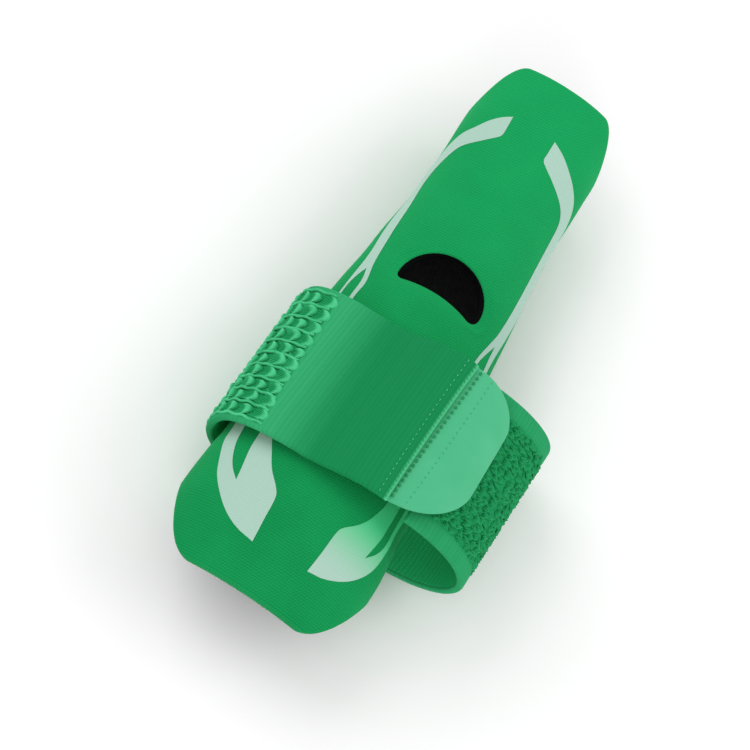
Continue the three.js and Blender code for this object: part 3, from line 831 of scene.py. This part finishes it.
band = {
    "along": 330, "across": 44, "edgeRadius": 0.35, "pileBase": 0.85, "border": 1.05, "borderFade": 0.3,
    "tipBorder": 1.0, "mouthBorder": 0.9, "looseTipBorder": 2.4, "looseMouthBorder": 2.3,
    "looseUntil": 52, "looseFade": 14, "endTaper": 1.6, "endThickness": 0.6, "endDrop": 0.2,
    "endRows": (0.08, 0.2, 0.32), "pinchReach": 0.4, "pinch": 0.25,
}


def borders(along):  # the plain selvedges' widths: wider where the band is loose and stretched
    loose = 1 - smoothstep(along, band["looseUntil"] - band["looseFade"], band["looseUntil"])
    return (mix(band["mouthBorder"], band["looseMouthBorder"], loose),
            mix(band["tipBorder"], band["looseTipBorder"], loose))


def pileEndAt(across):  # mm along the strap
    return strapLength - mix(strap["plainMouth"], strap["plainTip"], across / strap["width"])


def inPile(along, across):  # 0 to 1 between the selvedges
    fade = band["borderFade"]
    mouthBorder, tipBorder = borders(along)
    toTip = strap["width"] - tipBorder
    return smoothstep(across, mouthBorder - fade, mouthBorder + fade) * (
        1 - smoothstep(across, toTip - fade, toTip + fade))


def bandHeight(along, across):
    piled = mix(band["border"], band["pileBase"], inPile(along, across))
    pileEnd = pileEndAt(across)
    height = mix(piled, strap["plainThickness"], smoothstep(along, pileEnd - strap["pileFade"], pileEnd))
    return mix(height, band["endThickness"], atBandEnd(along))


def atBandEnd(along):  # 0 to 1 where the sewn end is pressed down on the tab
    return smoothstep(along, strapLength - band["endTaper"], strapLength)


def makeBand(outer, inner):
    n, r, width = band["across"], band["edgeRadius"], strap["width"]
    marks = np.linspace(strap["hidden"], strapLength, band["along"] + 1)
    ends = np.array(band["endRows"])
    marks = np.unique(np.r_[marks, strap["hidden"] + ends, strapLength - ends])
    inside = [(w, 0.0, 0.0) for w in np.linspace(r, width - r, n)]
    swing = np.radians([30, 60, 90])
    far = [(width - r + r * math.sin(s), 0.0, r * (1 - math.cos(s))) for s in swing]
    far += [(width - r + r * math.sin(s), 1.0, -r * (1 - math.cos(s))) for s in swing[::-1]]
    outside = [(w, 1.0, 0.0) for w in np.linspace(width - r, r, n)]
    near = [(width - w, share, more) for w, share, more in far][::-1]
    profile = inside + far + outside + near
    across = np.array([p[0] for p in profile])
    share, more = np.array([p[1] for p in profile]), np.array([p[2] for p in profile])
    count = len(profile)
    points, u, v = [], [], []
    for mark in marks:
        thick = bandHeight(mark, across)
        height = share * thick + more
        toEnd = min(mark - strap["hidden"], strapLength - mark)
        rounding = math.sqrt(max(0.0, 1 - (1 - min(1, toEnd / band["pinchReach"])) ** 2))
        height = thick / 2 + (height - thick / 2) * mix(band["pinch"], 1, rounding)
        height -= band["endDrop"] * atBandEnd(mark)
        points.append(onStrap(mark, across, height)[0])
        u.append(across)
        v.append(np.full(count, mark))
    points, u, v = (np.concatenate(part) for part in (points, u, v))
    quads, slots = [], []
    for k in range(len(marks) - 1):
        for i in range(count):
            j = (i + 1) % count
            quads.append((k * count + i, (k + 1) * count + i, (k + 1) * count + j, k * count + j))
            slots.append(1 if i < n - 1 else 0)
    half = count // 2
    for first, flip in ((0, False), ((len(marks) - 1) * count, True)):  # close the two ends
        for i in range(half - 1):
            quad = (first + i, first + i + 1, first + count - 2 - i, first + count - 1 - i)
            quads.append(quad[::-1] if flip else quad)
            slots.append(0)
    quads = np.array(quads)
    uvs = np.stack([u[quads], v[quads]], -1)
    made = makeObject("strap_band", inRow(points), quads, [outer, inner], slots, uvs)
    pastPile = v - pileEndAt(u)
    besidePile = mix(elastic["selvedge"], 1, smoothstep(pastPile, -elastic["beside"], 0))
    fading = 1 - smoothstep(pastPile, 0, elastic["stretch"])
    # The pale share: part on the selvedges, and a painted sheen that fades out over the bend past the pile's
    # end
    keepOnPoints(made, "FLOAT", "value", {
        "piled": inPile(v, u) * (1 - smoothstep(pastPile, -elastic["pileFade"], 0)),
        "stretched": np.where(pastPile < 0, besidePile, fading)})
    return made


# Geometry Nodes


def startTree(name, numbers):  # a geometry in, named numbers, a material, and a geometry out
    tree = bpy.data.node_groups.new(name, "GeometryNodeTree")
    tree.is_modifier = True
    tree.interface.new_socket("Geometry", in_out="INPUT", socket_type="NodeSocketGeometry")
    for label, value in numbers.items():
        kind = "NodeSocketInt" if isinstance(value, int) else "NodeSocketFloat"
        tree.interface.new_socket(label, in_out="INPUT", socket_type=kind).default_value = value
    tree.interface.new_socket("Material", in_out="INPUT", socket_type="NodeSocketMaterial")
    tree.interface.new_socket("Geometry", in_out="OUTPUT", socket_type="NodeSocketGeometry")
    return tree, addNode(tree, "NodeGroupInput").outputs


def finishTree(tree, geometry, given):
    real = addNode(tree, "GeometryNodeRealizeInstances", geometry)
    smooth = addNode(tree, "GeometryNodeSetShadeSmooth", real)
    finished = addNode(tree, "GeometryNodeSetMaterial", smooth, inputs={"Material": given["Material"]})
    addNode(tree, "NodeGroupOutput", finished)


def grow(guide, name, tree, numbers, material):  # runs the tree on the guide, and keeps the result's mesh
    modifier = guide.modifiers.new(name, "NODES")
    modifier.node_group = tree
    for item in tree.interface.items_tree:
        if item.in_out == "INPUT" and item.name in numbers:
            modifier[item.identifier] = numbers[item.name]
        if item.in_out == "INPUT" and item.name == "Material":
            modifier[item.identifier] = material
    shown = guide.evaluated_get(bpy.context.evaluated_depsgraph_get())
    mesh = bpy.data.meshes.new_from_object(shown)
    mesh.name = name
    made = bpy.data.objects.new(name, mesh)
    bpy.context.scene.collection.objects.link(made)
    guide.modifiers.remove(modifier)
    bpy.data.objects.remove(guide)
    print(name, len(mesh.polygons), "faces")
    return made


def archedLine(tree, line, arch, length, height):  # a unit line along X, made long and raised to an arch
    size = addNode(tree, "ShaderNodeCombineXYZ", length, 1.0, 1.0)
    long = addNode(tree, "GeometryNodeTransform", line, inputs={"Scale": size})
    lift = addNode(tree, "ShaderNodeMath", arch, height, operation="MULTIPLY")
    offset = addNode(tree, "ShaderNodeCombineXYZ", inputs={"Z": lift})
    return addNode(tree, "GeometryNodeSetPosition", long, inputs={"Offset": offset})


def tubeAlong(tree, curve, radius, sides):
    ring = addNode(tree, "GeometryNodeCurvePrimitiveCircle", mode="RADIUS", inputs={
        "Resolution": sides, "Radius": radius})
    return addNode(tree, "GeometryNodeCurveToMesh", curve, ring, inputs={"Fill Caps": True})


def facingOn(tree, outward, onward):  # the turn that sets Z outward and X onward
    upright = addNode(tree, "FunctionNodeAlignRotationToVector", axis="Z", inputs={"Vector": outward})
    return addNode(tree, "FunctionNodeAlignRotationToVector", upright, axis="X", pivot_axis="Z",
                   inputs={"Vector": onward})


# Loop pile: rows of scale-like tufts. Each is a fan of strands that rise slowly, crown, and drop at its
# front. The rows near the smooth end stand up, and those on the loose side are rubbed short.

pile = {
    "pitch": 1.9, "rows": 10, "length": 2.1, "width": 1.5, "height": 0.55, "strand": 0.15, "strands": 8,
    "segments": 13, "late": 2.6, "peak": 0.9, "rimBend": 0.45, "sideDrop": 0.35, "ruffle": 0.3, "seed": 7,
    "from": 44.0, "colours": ("#229F60", "#55D094"),
}
loosePile = {
    "pitch": 0.92, "rows": 24, "length": 1.15, "width": 0.5, "height": 0.3, "strand": 0.19, "strands": 3,
    "segments": 6, "late": 1.3, "peak": 0.75, "rimBend": 0.15, "sideDrop": 0.3, "ruffle": 0.6, "seed": 3,
    # Its colours are darker than the main pile's: painted shade on the loose side
    "from": 7.3, "colours": ("#13824A", "#239B5D"),
}
tuft = {  # how strands lean, how tufts differ in place, turn and size, and the guide's rim they keep off
    "lean": 0.22, "shift": 0.028, "turns": (0.4, 0.3, 1.0), "smallest": (0.92, 0.92, 0.82),
    "largest": (1.08, 1.08, 1.0), "sides": 4, "rim": 0.001,
}


def tuftNumbers(kind, along=20):  # the pile tree's inputs
    sizes = {"Tuft Length": "length", "Tuft Width": "width", "Tuft Height": "height",
             "Strand Radius": "strand", "Rim Bend": "rimBend"}
    shares = {"Rows": "rows", "Strands": "strands", "Segments": "segments", "Side Drop": "sideDrop",
              "Ruffle": "ruffle", "Late": "late", "Peak": "peak", "Seed": "seed"}
    return {"Tufts Along": along, **{label: kind[key] * mm for label, key in sizes.items()},
            **{label: kind[key] for label, key in shares.items()}}


def pileTree():
    tree, given = startTree("pileTufts", tuftNumbers(pile))

    # One strand: a line that rises slowly and drops at its front, and keeps how high it stands, which the
    # material turns into painted light and painted shade
    line = addNode(tree, "GeometryNodeCurvePrimitiveLine", (-0.5, 0, 0), (0.5, 0, 0))
    cut = addNode(tree, "GeometryNodeResampleCurve", line, inputs={"Count": given["Segments"]})
    along = addNode(tree, "GeometryNodeSplineParameter")
    late = addNode(tree, "ShaderNodeMath", along, given["Late"], operation="POWER")
    swing = addNode(tree, "ShaderNodeMath", late, math.pi, operation="MULTIPLY")
    sine = addNode(tree, "ShaderNodeMath", swing, operation="SINE")
    hump = addNode(tree, "ShaderNodeMath", sine, operation="ABSOLUTE")
    arch = addNode(tree, "ShaderNodeMath", hump, given["Peak"], operation="POWER")
    kept = addNode(tree, "GeometryNodeStoreNamedAttribute", cut, data_type="FLOAT", domain="POINT", inputs={
        "Name": "crown", "Value": arch})
    raised = archedLine(tree, kept, arch, given["Tuft Length"], given["Tuft Height"])
    strand = tubeAlong(tree, raised, given["Strand Radius"], tuft["sides"])

    # One tuft: strands side by side, the outer ones lower and further back
    spots = addNode(tree, "GeometryNodeMeshLine", given["Strands"])
    index = addNode(tree, "GeometryNodeInputIndex")
    last = addNode(tree, "ShaderNodeMath", given["Strands"], 1.0, operation="SUBTRACT")
    share = addNode(tree, "ShaderNodeMath", index, last, operation="DIVIDE")
    side = addNode(tree, "ShaderNodeMath", share, 2.0, -1.0, operation="MULTIPLY_ADD")
    squared = addNode(tree, "ShaderNodeMath", side, side, operation="MULTIPLY")
    bend = addNode(tree, "ShaderNodeMath", given["Rim Bend"], -1.0, operation="MULTIPLY")
    back = addNode(tree, "ShaderNodeMath", squared, bend, operation="MULTIPLY")
    half = addNode(tree, "ShaderNodeMath", given["Tuft Width"], 0.5, operation="MULTIPLY")
    across = addNode(tree, "ShaderNodeMath", side, half, operation="MULTIPLY")
    spot = addNode(tree, "ShaderNodeCombineXYZ", back, across)
    spread = addNode(tree, "GeometryNodeSetPosition", spots, inputs={"Position": spot})
    drop = addNode(tree, "ShaderNodeMath", squared, given["Side Drop"], operation="MULTIPLY")
    lower = addNode(tree, "ShaderNodeMath", 1.0, drop, operation="SUBTRACT")
    strandSize = addNode(tree, "ShaderNodeCombineXYZ", 1.0, 1.0, lower)
    lean = addNode(tree, "ShaderNodeMath", side, -tuft["lean"], operation="MULTIPLY")
    inward = addNode(tree, "ShaderNodeCombineXYZ", inputs={"Z": lean})
    fan = addNode(tree, "GeometryNodeInstanceOnPoints", spread, inputs={
        "Instance": strand, "Rotation": inward, "Scale": strandSize})

    # Their places on the band, and its directions there, are read from the guide by its shares
    grid = addNode(tree, "GeometryNodeMeshGrid", 1.0, 1.0, given["Tufts Along"], given["Rows"])
    place = addNode(tree, "GeometryNodeInputPosition")
    toShare = addNode(tree, "ShaderNodeVectorMath", place, (0.5, 0.5, 0.0), operation="ADD")
    jitter = addNode(tree, "FunctionNodeRandomValue", (-1.0, -1.0, 0.0), (1.0, 1.0, 0.0),
                     data_type="FLOAT_VECTOR", inputs={"Seed": given["Seed"]})
    shift = addNode(tree, "ShaderNodeMath", given["Ruffle"], tuft["shift"], operation="MULTIPLY")
    away = addNode(tree, "ShaderNodeVectorMath", jitter, operation="SCALE", inputs={"Scale": shift})
    askew = addNode(tree, "ShaderNodeVectorMath", toShare, away, operation="ADD")
    low, high = (tuft["rim"],) * 2 + (0.0,), (1 - tuft["rim"],) * 2 + (0.0,)
    inside = addNode(tree, "ShaderNodeVectorMath", askew, high, operation="MINIMUM")
    within = addNode(tree, "ShaderNodeVectorMath", inside, low, operation="MAXIMUM")
    shares = addNode(tree, "GeometryNodeInputNamedAttribute", "share", data_type="FLOAT_VECTOR")
    surface = {"spot": addNode(tree, "GeometryNodeInputPosition")}
    for label in ("outward", "onward"):
        surface[label] = addNode(tree, "GeometryNodeInputNamedAttribute", label, data_type="FLOAT_VECTOR")
    for label, value in surface.items():
        surface[label] = addNode(tree, "GeometryNodeSampleUVSurface", given["Geometry"],
                                 data_type="FLOAT_VECTOR",
                                 inputs={"Value": value, "UV Map": shares, "Sample UV": within})
    facing = facingOn(tree, surface["outward"], surface["onward"])
    turn = addNode(tree, "FunctionNodeRandomValue", [-most for most in tuft["turns"]], tuft["turns"],
                   data_type="FLOAT_VECTOR", inputs={"Seed": given["Seed"]})
    turned = addNode(tree, "ShaderNodeVectorMath", turn, operation="SCALE", inputs={"Scale": given["Ruffle"]})
    asRotation = addNode(tree, "FunctionNodeEulerToRotation", turned)
    rotation = addNode(tree, "FunctionNodeRotateRotation", facing, asRotation, rotation_space="LOCAL")
    rotationKept = addNode(tree, "GeometryNodeCaptureAttribute", grid)
    rotationKept.capture_items.new("ROTATION", "turn")
    tree.links.new(rotation.outputs[0], rotationKept.inputs[1])
    placed = addNode(tree, "GeometryNodeSetPosition", rotationKept, inputs={"Position": surface["spot"]})
    points = addNode(tree, "GeometryNodeMeshToPoints", placed)
    scale = addNode(tree, "FunctionNodeRandomValue", tuft["smallest"], tuft["largest"],
                    data_type="FLOAT_VECTOR", inputs={"Seed": given["Seed"]})
    tufts = addNode(tree, "GeometryNodeInstanceOnPoints", points, inputs={
        "Instance": fan, "Rotation": rotationKept.outputs[1], "Scale": scale})
    finishTree(tree, tufts, given)
    return tree


pileGuide = {"along": 200, "across": 23, "sideRoom": 0.1, "overEnd": 0.32, "sunk": 0.08}


def betweenBorders(mark, kind, shares):  # mm from the mouth edge, for tufts that keep off the selvedges
    mouthBorder, tipBorder = borders(mark)
    sideRoom = kind["width"] / 2 + pileGuide["sideRoom"]
    return mix(mouthBorder + sideRoom, strap["width"] - tipBorder - sideRoom, shares)


def makePile(tree, name, kind, end, material):  # end None: up to the pile's slanting end
    marks = np.linspace(0, 1, pileGuide["along"])
    shares = np.linspace(0, 1, pileGuide["across"])
    start = kind["from"]
    length = (end or pileEndAt(strap["width"] / 2) - kind["length"] / 2) - start
    points, outs = [], []
    for mark in marks:
        across = betweenBorders(start + mark * length, kind, shares)
        stop = end or pileEndAt(across) - pileGuide["overEnd"] * kind["length"]
        point, out = onStrap(mix(start, stop, mark), across, band["pileBase"] - pileGuide["sunk"])
        points.append(point)
        outs.append(out)
    onward = np.gradient(np.array(points), axis=0)
    onward /= np.linalg.norm(onward, axis=-1)[..., None]
    faces = gridQuads(len(marks), len(shares))
    uvs = np.stack(np.meshgrid(marks, shares, indexing="ij"), -1).reshape(-1, 2)[faces]
    guide = makeObject(name + "Guide", inRow(np.concatenate(points)), faces, uvs=uvs, uvName="share")
    keepOnPoints(guide, "FLOAT_VECTOR", "vector", {"outward": outs, "onward": onward})
    return grow(guide, name, tree, tuftNumbers(kind, round(length / kind["pitch"]) + 1), material)


# Ridges: cords along the strap, between the rows of tufts

ridge = {
    # The cords' crown is how much painted light the pile's material gives them, as it gives strand points
    # that high
    "radius": 0.2, "sides": 6, "height": 1.06, "step": 0.4, "crown": 0.75, "marks": 240, "before": 1.0,
    "short": 0.3, "wander": 0.08, "wanderTurn": 1.3, "swell": 0.07, "swellTurn": 0.8,
}


def cordTree():
    tree, given = startTree("ridgeCords", {"Cord Radius": 0.1, "Sides": 6, "Step": 0.1, "Crown": 0.1})
    curve = addNode(tree, "GeometryNodeMeshToCurve", given["Geometry"])
    even = addNode(tree, "GeometryNodeResampleCurve", curve, mode="LENGTH", inputs={"Length": given["Step"]})
    kept = addNode(tree, "GeometryNodeStoreNamedAttribute", even, data_type="FLOAT", domain="POINT", inputs={
        "Name": "crown", "Value": given["Crown"]})
    finishTree(tree, tubeAlong(tree, kept, given["Cord Radius"], given["Sides"]), given)
    return tree


def makeRidges(tree, material):
    points, edges = [], []
    for line in range(pile["rows"] + 1):
        share = (line - 0.5) / (pile["rows"] - 1)
        end = pileEndAt(share * strap["width"]) - ridge["short"]
        edges += [(len(points) + k, len(points) + k + 1) for k in range(ridge["marks"] - 1)]
        for mark in np.linspace(pile["from"] - ridge["before"], end, ridge["marks"]):
            turn = 2 * math.pi * mark / pile["pitch"]
            wander = ridge["wander"] * math.sin(turn + ridge["wanderTurn"] * line)
            height = ridge["height"] + ridge["swell"] * math.sin(turn + ridge["swellTurn"] * line)
            points.append(onStrap(mark, betweenBorders(mark, pile, share) + wander, height)[0])
    numbers = {"Cord Radius": ridge["radius"] * mm, "Sides": ridge["sides"], "Step": ridge["step"] * mm,
               "Crown": ridge["crown"]}
    return grow(makeObject("ridgeGuide", inRow(points), edges=edges), "strap_ridges", tree, numbers, material)


# Tab

tabMesh = {"along": 44, "across": 60, "edgeRadius": 0.3, "endShare": 1.2}


def cornerInset(toEnd, radius):
    into = np.maximum(0, radius - toEnd)
    return radius - np.sqrt(np.maximum(0, radius ** 2 - into ** 2))


def tabPoint(distance, across, height):  # mm from its hidden edge, share across it, mm above its underside
    toEnd, hiddenInset = tab["length"] - distance, cornerInset(distance, tab["hiddenCorner"])
    lowest = tab["mouthInset"] - strap["fromTip"] - strap["width"] + hiddenInset
    lowest += cornerInset(toEnd, tab["mouthCorner"])
    highest = -strap["fromTip"] - hiddenInset - cornerInset(toEnd, tab["tipCorner"])
    y = float(mix(lowest, highest, across))
    point, out = standingOn(firstRun(strapFrame(y)), np.array([tab["behind"] + distance]))
    flat = point[0] + out[0] * (strap["thickness"] + strap["gap"] + height)
    return (flat[0], y, flat[1]), (out[0][0], 0.0, out[0][1])


def makeTab(material):
    n, m = tabMesh["across"], tabMesh["along"]
    distances = tab["length"] * (1 - np.cos(np.linspace(0, math.pi, m + 1))) / 2
    shares = (1 - np.cos(np.linspace(0, math.pi, n + 1))) / 2
    under, over, uvs = [], [], []
    for distance in distances:
        for share in shares:
            edge = min(share, 1 - share) * strap["width"]
            inFromEdge = min(edge, (tab["length"] - distance) * tabMesh["endShare"])
            nearness = 1 - min(1.0, inFromEdge / (2 * tabMesh["edgeRadius"]))
            drop = tabMesh["edgeRadius"] * (1 - math.sqrt(1 - nearness ** 2))
            under.append(tabPoint(distance, share, drop)[0])
            over.append(tabPoint(distance, share, tab["thickness"] - drop)[0])
            uvs.append((share * strap["width"], distance))
    first = len(over)
    places = [k * (n + 1) + i for k, i in ringAround(0, m, 0, n)]
    rim = [(a, b, first + b, first + a) for a, b in zip(places, places[1:] + places[:1])]
    quads = np.concatenate([gridQuads(m + 1, n + 1), gridQuads(m + 1, n + 1, (0, 3, 2, 1), first), rim])
    return makeObject("tab_tape", inRow(over + under), quads, [material], uvs=np.array(uvs + uvs)[quads])


# Stitches: short arched threads along a seam, coarser than life, so that they show. Each seam lies a little
# from the strap's end, on the strap's smooth face or on the tab past it.

seam = {
    "end_stitches": {
        "fromEnd": 0.22, "lift": 0.0, "pitch": 0.6, "length": 0.5, "radius": 0.1, "slant": 24},
    "band_stitches": {
        "fromEnd": 1.3, "lift": 0.0, "pitch": 0.8, "length": 0.36, "radius": 0.085, "slant": 0},
    "tab_stitches": {
        "pastEnd": 0.38, "lift": -0.02, "pitch": 0.78, "length": 0.46, "radius": 0.15, "slant": 0},
    "tab_far_stitches": {
        "pastEnd": 1.95, "lift": -0.03, "pitch": 0.8, "length": 0.2, "radius": 0.07, "slant": 0},
}
seamMesh = {"marks": 60, "fromSide": 0.5, "tabFrom": 0.03, "segments": 9, "sides": 7, "blunt": 0.45}
threads = {
    # The dark thread's colour is partly the thread's own and partly painted shade of the needle pits it sinks
    # into
    "lightThread": ("#2FA667", "#4DBD84"), "darkThreadAndPitShade": ("#168A50", "#239A60"),
    "tabThread": ("#36A870", "#45B680"),
}


def stitchTree():
    numbers = {"Pitch": 0.1, "Stitch Length": 0.1, "Thread Radius": 0.1, "Slant": 0.0}
    tree, given = startTree("threadStitches", numbers)
    curve = addNode(tree, "GeometryNodeMeshToCurve", given["Geometry"])
    even = addNode(tree, "GeometryNodeCurveToPoints", curve, mode="LENGTH", inputs={"Length": given["Pitch"]})
    outward = addNode(tree, "GeometryNodeInputNamedAttribute", "outward", data_type="FLOAT_VECTOR")
    facing = facingOn(tree, outward, even.outputs["Tangent"])
    slant = addNode(tree, "FunctionNodeAxisAngleToRotation", (0, 0, 1), given["Slant"])
    rotation = addNode(tree, "FunctionNodeRotateRotation", facing, slant, rotation_space="LOCAL")
    line = addNode(tree, "GeometryNodeCurvePrimitiveLine", (-0.5, 0, 0), (0.5, 0, 0))
    cut = addNode(tree, "GeometryNodeResampleCurve", line, inputs={"Count": seamMesh["segments"]})
    along = addNode(tree, "GeometryNodeSplineParameter")
    halfTurn = addNode(tree, "ShaderNodeMath", along, math.pi, operation="MULTIPLY")
    arch = addNode(tree, "ShaderNodeMath", halfTurn, operation="SINE")
    raised = archedLine(tree, cut, arch, given["Stitch Length"], given["Thread Radius"])
    slim = addNode(tree, "ShaderNodeMath", arch, seamMesh["blunt"], operation="POWER")
    tapered = addNode(tree, "GeometryNodeSetCurveRadius", raised, inputs={"Radius": slim})
    stitch = tubeAlong(tree, tapered, given["Thread Radius"], seamMesh["sides"])
    radius = addNode(tree, "GeometryNodeInputRadius")
    tree.links.new(radius.outputs[0], stitch.inputs["Scale"])
    row = addNode(tree, "GeometryNodeInstanceOnPoints", even, inputs={
        "Instance": stitch, "Rotation": rotation})
    finishTree(tree, row, given)
    return tree


def onBand(row):  # a line across the strap's smooth face, near its end
    across = np.linspace(seamMesh["fromSide"], strap["width"] - seamMesh["fromSide"], seamMesh["marks"])
    mark = strapLength - row["fromEnd"]
    return onStrap(mark, across, bandHeight(mark, across) - band["endDrop"] * atBandEnd(mark) + row["lift"])


def onTab(row):  # a line across the tab, past the strap's end
    places = []
    for share in np.linspace(seamMesh["tabFrom"], 1 - seamMesh["tabFrom"], seamMesh["marks"]):
        distance = mix(tab["lapMouth"], tab["lapTip"], share) + row["pastEnd"]
        places.append(tabPoint(distance, share, tab["thickness"] + row["lift"]))
    return zip(*places)


def sewRow(tree, name, material):
    row = seam[name]
    points, outs = onTab(row) if "pastEnd" in row else onBand(row)
    guide = makeObject(name + "Guide", inRow(points), edges=[(k, k + 1) for k in range(len(points) - 1)])
    keepOnPoints(guide, "FLOAT_VECTOR", "vector", {"outward": outs})
    numbers = {"Pitch": row["pitch"] * mm, "Stitch Length": row["length"] * mm,
               "Thread Radius": row["radius"] * mm, "Slant": math.radians(row["slant"])}
    return grow(guide, name, tree, numbers, material)


# Make the pieces

sleevePiece = makeSleeve(jerseyMaterial(), liningMaterial(), foamMaterial())
print("sleeve", len(sleevePiece.data.polygons), "faces")
stripes = makeStripes(printMaterial())
print("stripes", len(stripes.data.polygons), "faces")

bandPiece = makeBand(elasticMaterial(), elasticInsideMaterial())
print("band", len(bandPiece.data.polygons), "faces, line", round(strapLength, 1), "mm")
loopNylon = pileMaterial("nylonLoopPile", pile["colours"])
pileGrowth = pileTree()
pilePiece = makePile(pileGrowth, "strap_pile", pile, None, loopNylon)
loosePiece = makePile(pileGrowth, "strap_pile_loose", loosePile, pile["from"] - pile["pitch"] / 2,
                      pileMaterial("rubbedLoopPileShaded", loosePile["colours"]))
ridgePiece = makeRidges(cordTree(), loopNylon)

tabPiece = makeTab(tabMaterial())
print("tab", len(tabPiece.data.polygons), "faces")
lightThread, darkThreadAndPitShade, tabThread = (threadMaterial(name, colours) for name, colours in threads.items())
stitches = stitchTree()
edgeRow = sewRow(stitches, "end_stitches", lightThread)
insideRow = sewRow(stitches, "band_stitches", lightThread)
tabRow = sewRow(stitches, "tab_stitches", darkThreadAndPitShade)
farRow = sewRow(stitches, "tab_far_stitches", tabThread)

# Attach each piece to the root body, and hide the solids that they stand for

for piece, slotName in ((sleevePiece, "foam_cloth"), (stripes, "foam_cloth"), (bandPiece, "elastic_band"),
                        (pilePiece, "elastic_band"), (loosePiece, "elastic_band"),
                        (ridgePiece, "elastic_band"), (tabPiece, "hook_tape"),
                        (edgeRow, "elastic_band"), (insideRow, "elastic_band"), (tabRow, "hook_tape"),
                        (farRow, "hook_tape")):
    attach(piece, "root")
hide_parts("sleeve")
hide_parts("strap")
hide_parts("hook_tab")

# Floor, light and camera

stageSet = {
    "floor": 1.2, "floorColour": "#FDFDFD", "roughness": 0.9, "specular": 0.1, "world": "#FFFFFF",
    "worldStrength": 0.68,
}


def makeFloor():
    half = stageSet["floor"] / 2
    corners = [(-half, -half, 0), (half, -half, 0), (half, half, 0), (-half, half, 0)]
    material, tree = startMaterial("paleFloor")
    shader = addNode(tree, "ShaderNodeBsdfPrincipled", linear(stageSet["floorColour"]), inputs={
        "Roughness": stageSet["roughness"], "Specular IOR Level": stageSet["specular"]})
    addNode(tree, "ShaderNodeOutputMaterial", shader)
    floor = makeObject("floor", corners, [(0, 1, 2, 3)], [material])


lamps = [
    {"name": "keyLight", "from": (-0.8, 0.35, 0.75), "far": 0.55, "size": 0.45, "power": 1.1},
    {"name": "fillLight", "from": (0.35, -1.0, 0.42), "far": 0.6, "size": 0.4, "power": 0.95},
    {"name": "rimLight", "from": (0.9, 0.5, 0.7), "far": 0.55, "size": 0.45, "power": 0.85},
]


def makeLights():
    world = bpy.data.worlds.new("studio")
    bpy.context.scene.world = world
    world.use_nodes = True
    world.node_tree.nodes.clear()
    tree = world.node_tree
    sky = addNode(tree, "ShaderNodeBackground", linear(stageSet["world"]), stageSet["worldStrength"])
    addNode(tree, "ShaderNodeOutputWorld", sky)
    for lamp in lamps:
        data = bpy.data.lights.new(lamp["name"], "AREA")
        data.shape, data.size, data.energy = "DISK", lamp["size"], lamp["power"]
        made = bpy.data.objects.new(lamp["name"], data)
        bpy.context.scene.collection.objects.link(made)
        direction = Vector(lamp["from"]).normalized()
        made.location = direction * lamp["far"]
        made.rotation_euler = direction.to_track_quat("Z", "Y").to_euler()


view = {
    "target": (-0.94, -44.2, 9.0), "tilt": 22.0, "roll": 33.1, "distance": 1500.0, "frameWidth": 92.6,
    "sensor": 36, "clip": (0.05, 10),
}


def makeCamera():
    tilt, roll = math.radians(view["tilt"]), math.radians(view["roll"])
    back = Vector((0, -math.sin(tilt), math.cos(tilt)))
    tipward = Vector((0, math.cos(tilt), math.sin(tilt)))
    up = tipward * math.cos(roll) - Vector((1, 0, 0)) * math.sin(roll)
    right = up.cross(back)
    place = Vector(inRow(view["target"])) + back * view["distance"] * mm
    data = bpy.data.cameras.new("camera")
    data.sensor_width = view["sensor"]
    data.lens = data.sensor_width * view["distance"] / view["frameWidth"]
    data.clip_start, data.clip_end = view["clip"]
    camera = bpy.data.objects.new("camera", data)
    bpy.context.scene.collection.objects.link(camera)
    camera.matrix_world = Matrix([(right[k], up[k], back[k], place[k]) for k in range(3)] + [(0, 0, 0, 1)])
    bpy.context.scene.camera = camera


makeFloor()
makeLights()
makeCamera()
bpy.context.scene.view_settings.view_transform = "Standard"
print("stage, lights and camera ready")
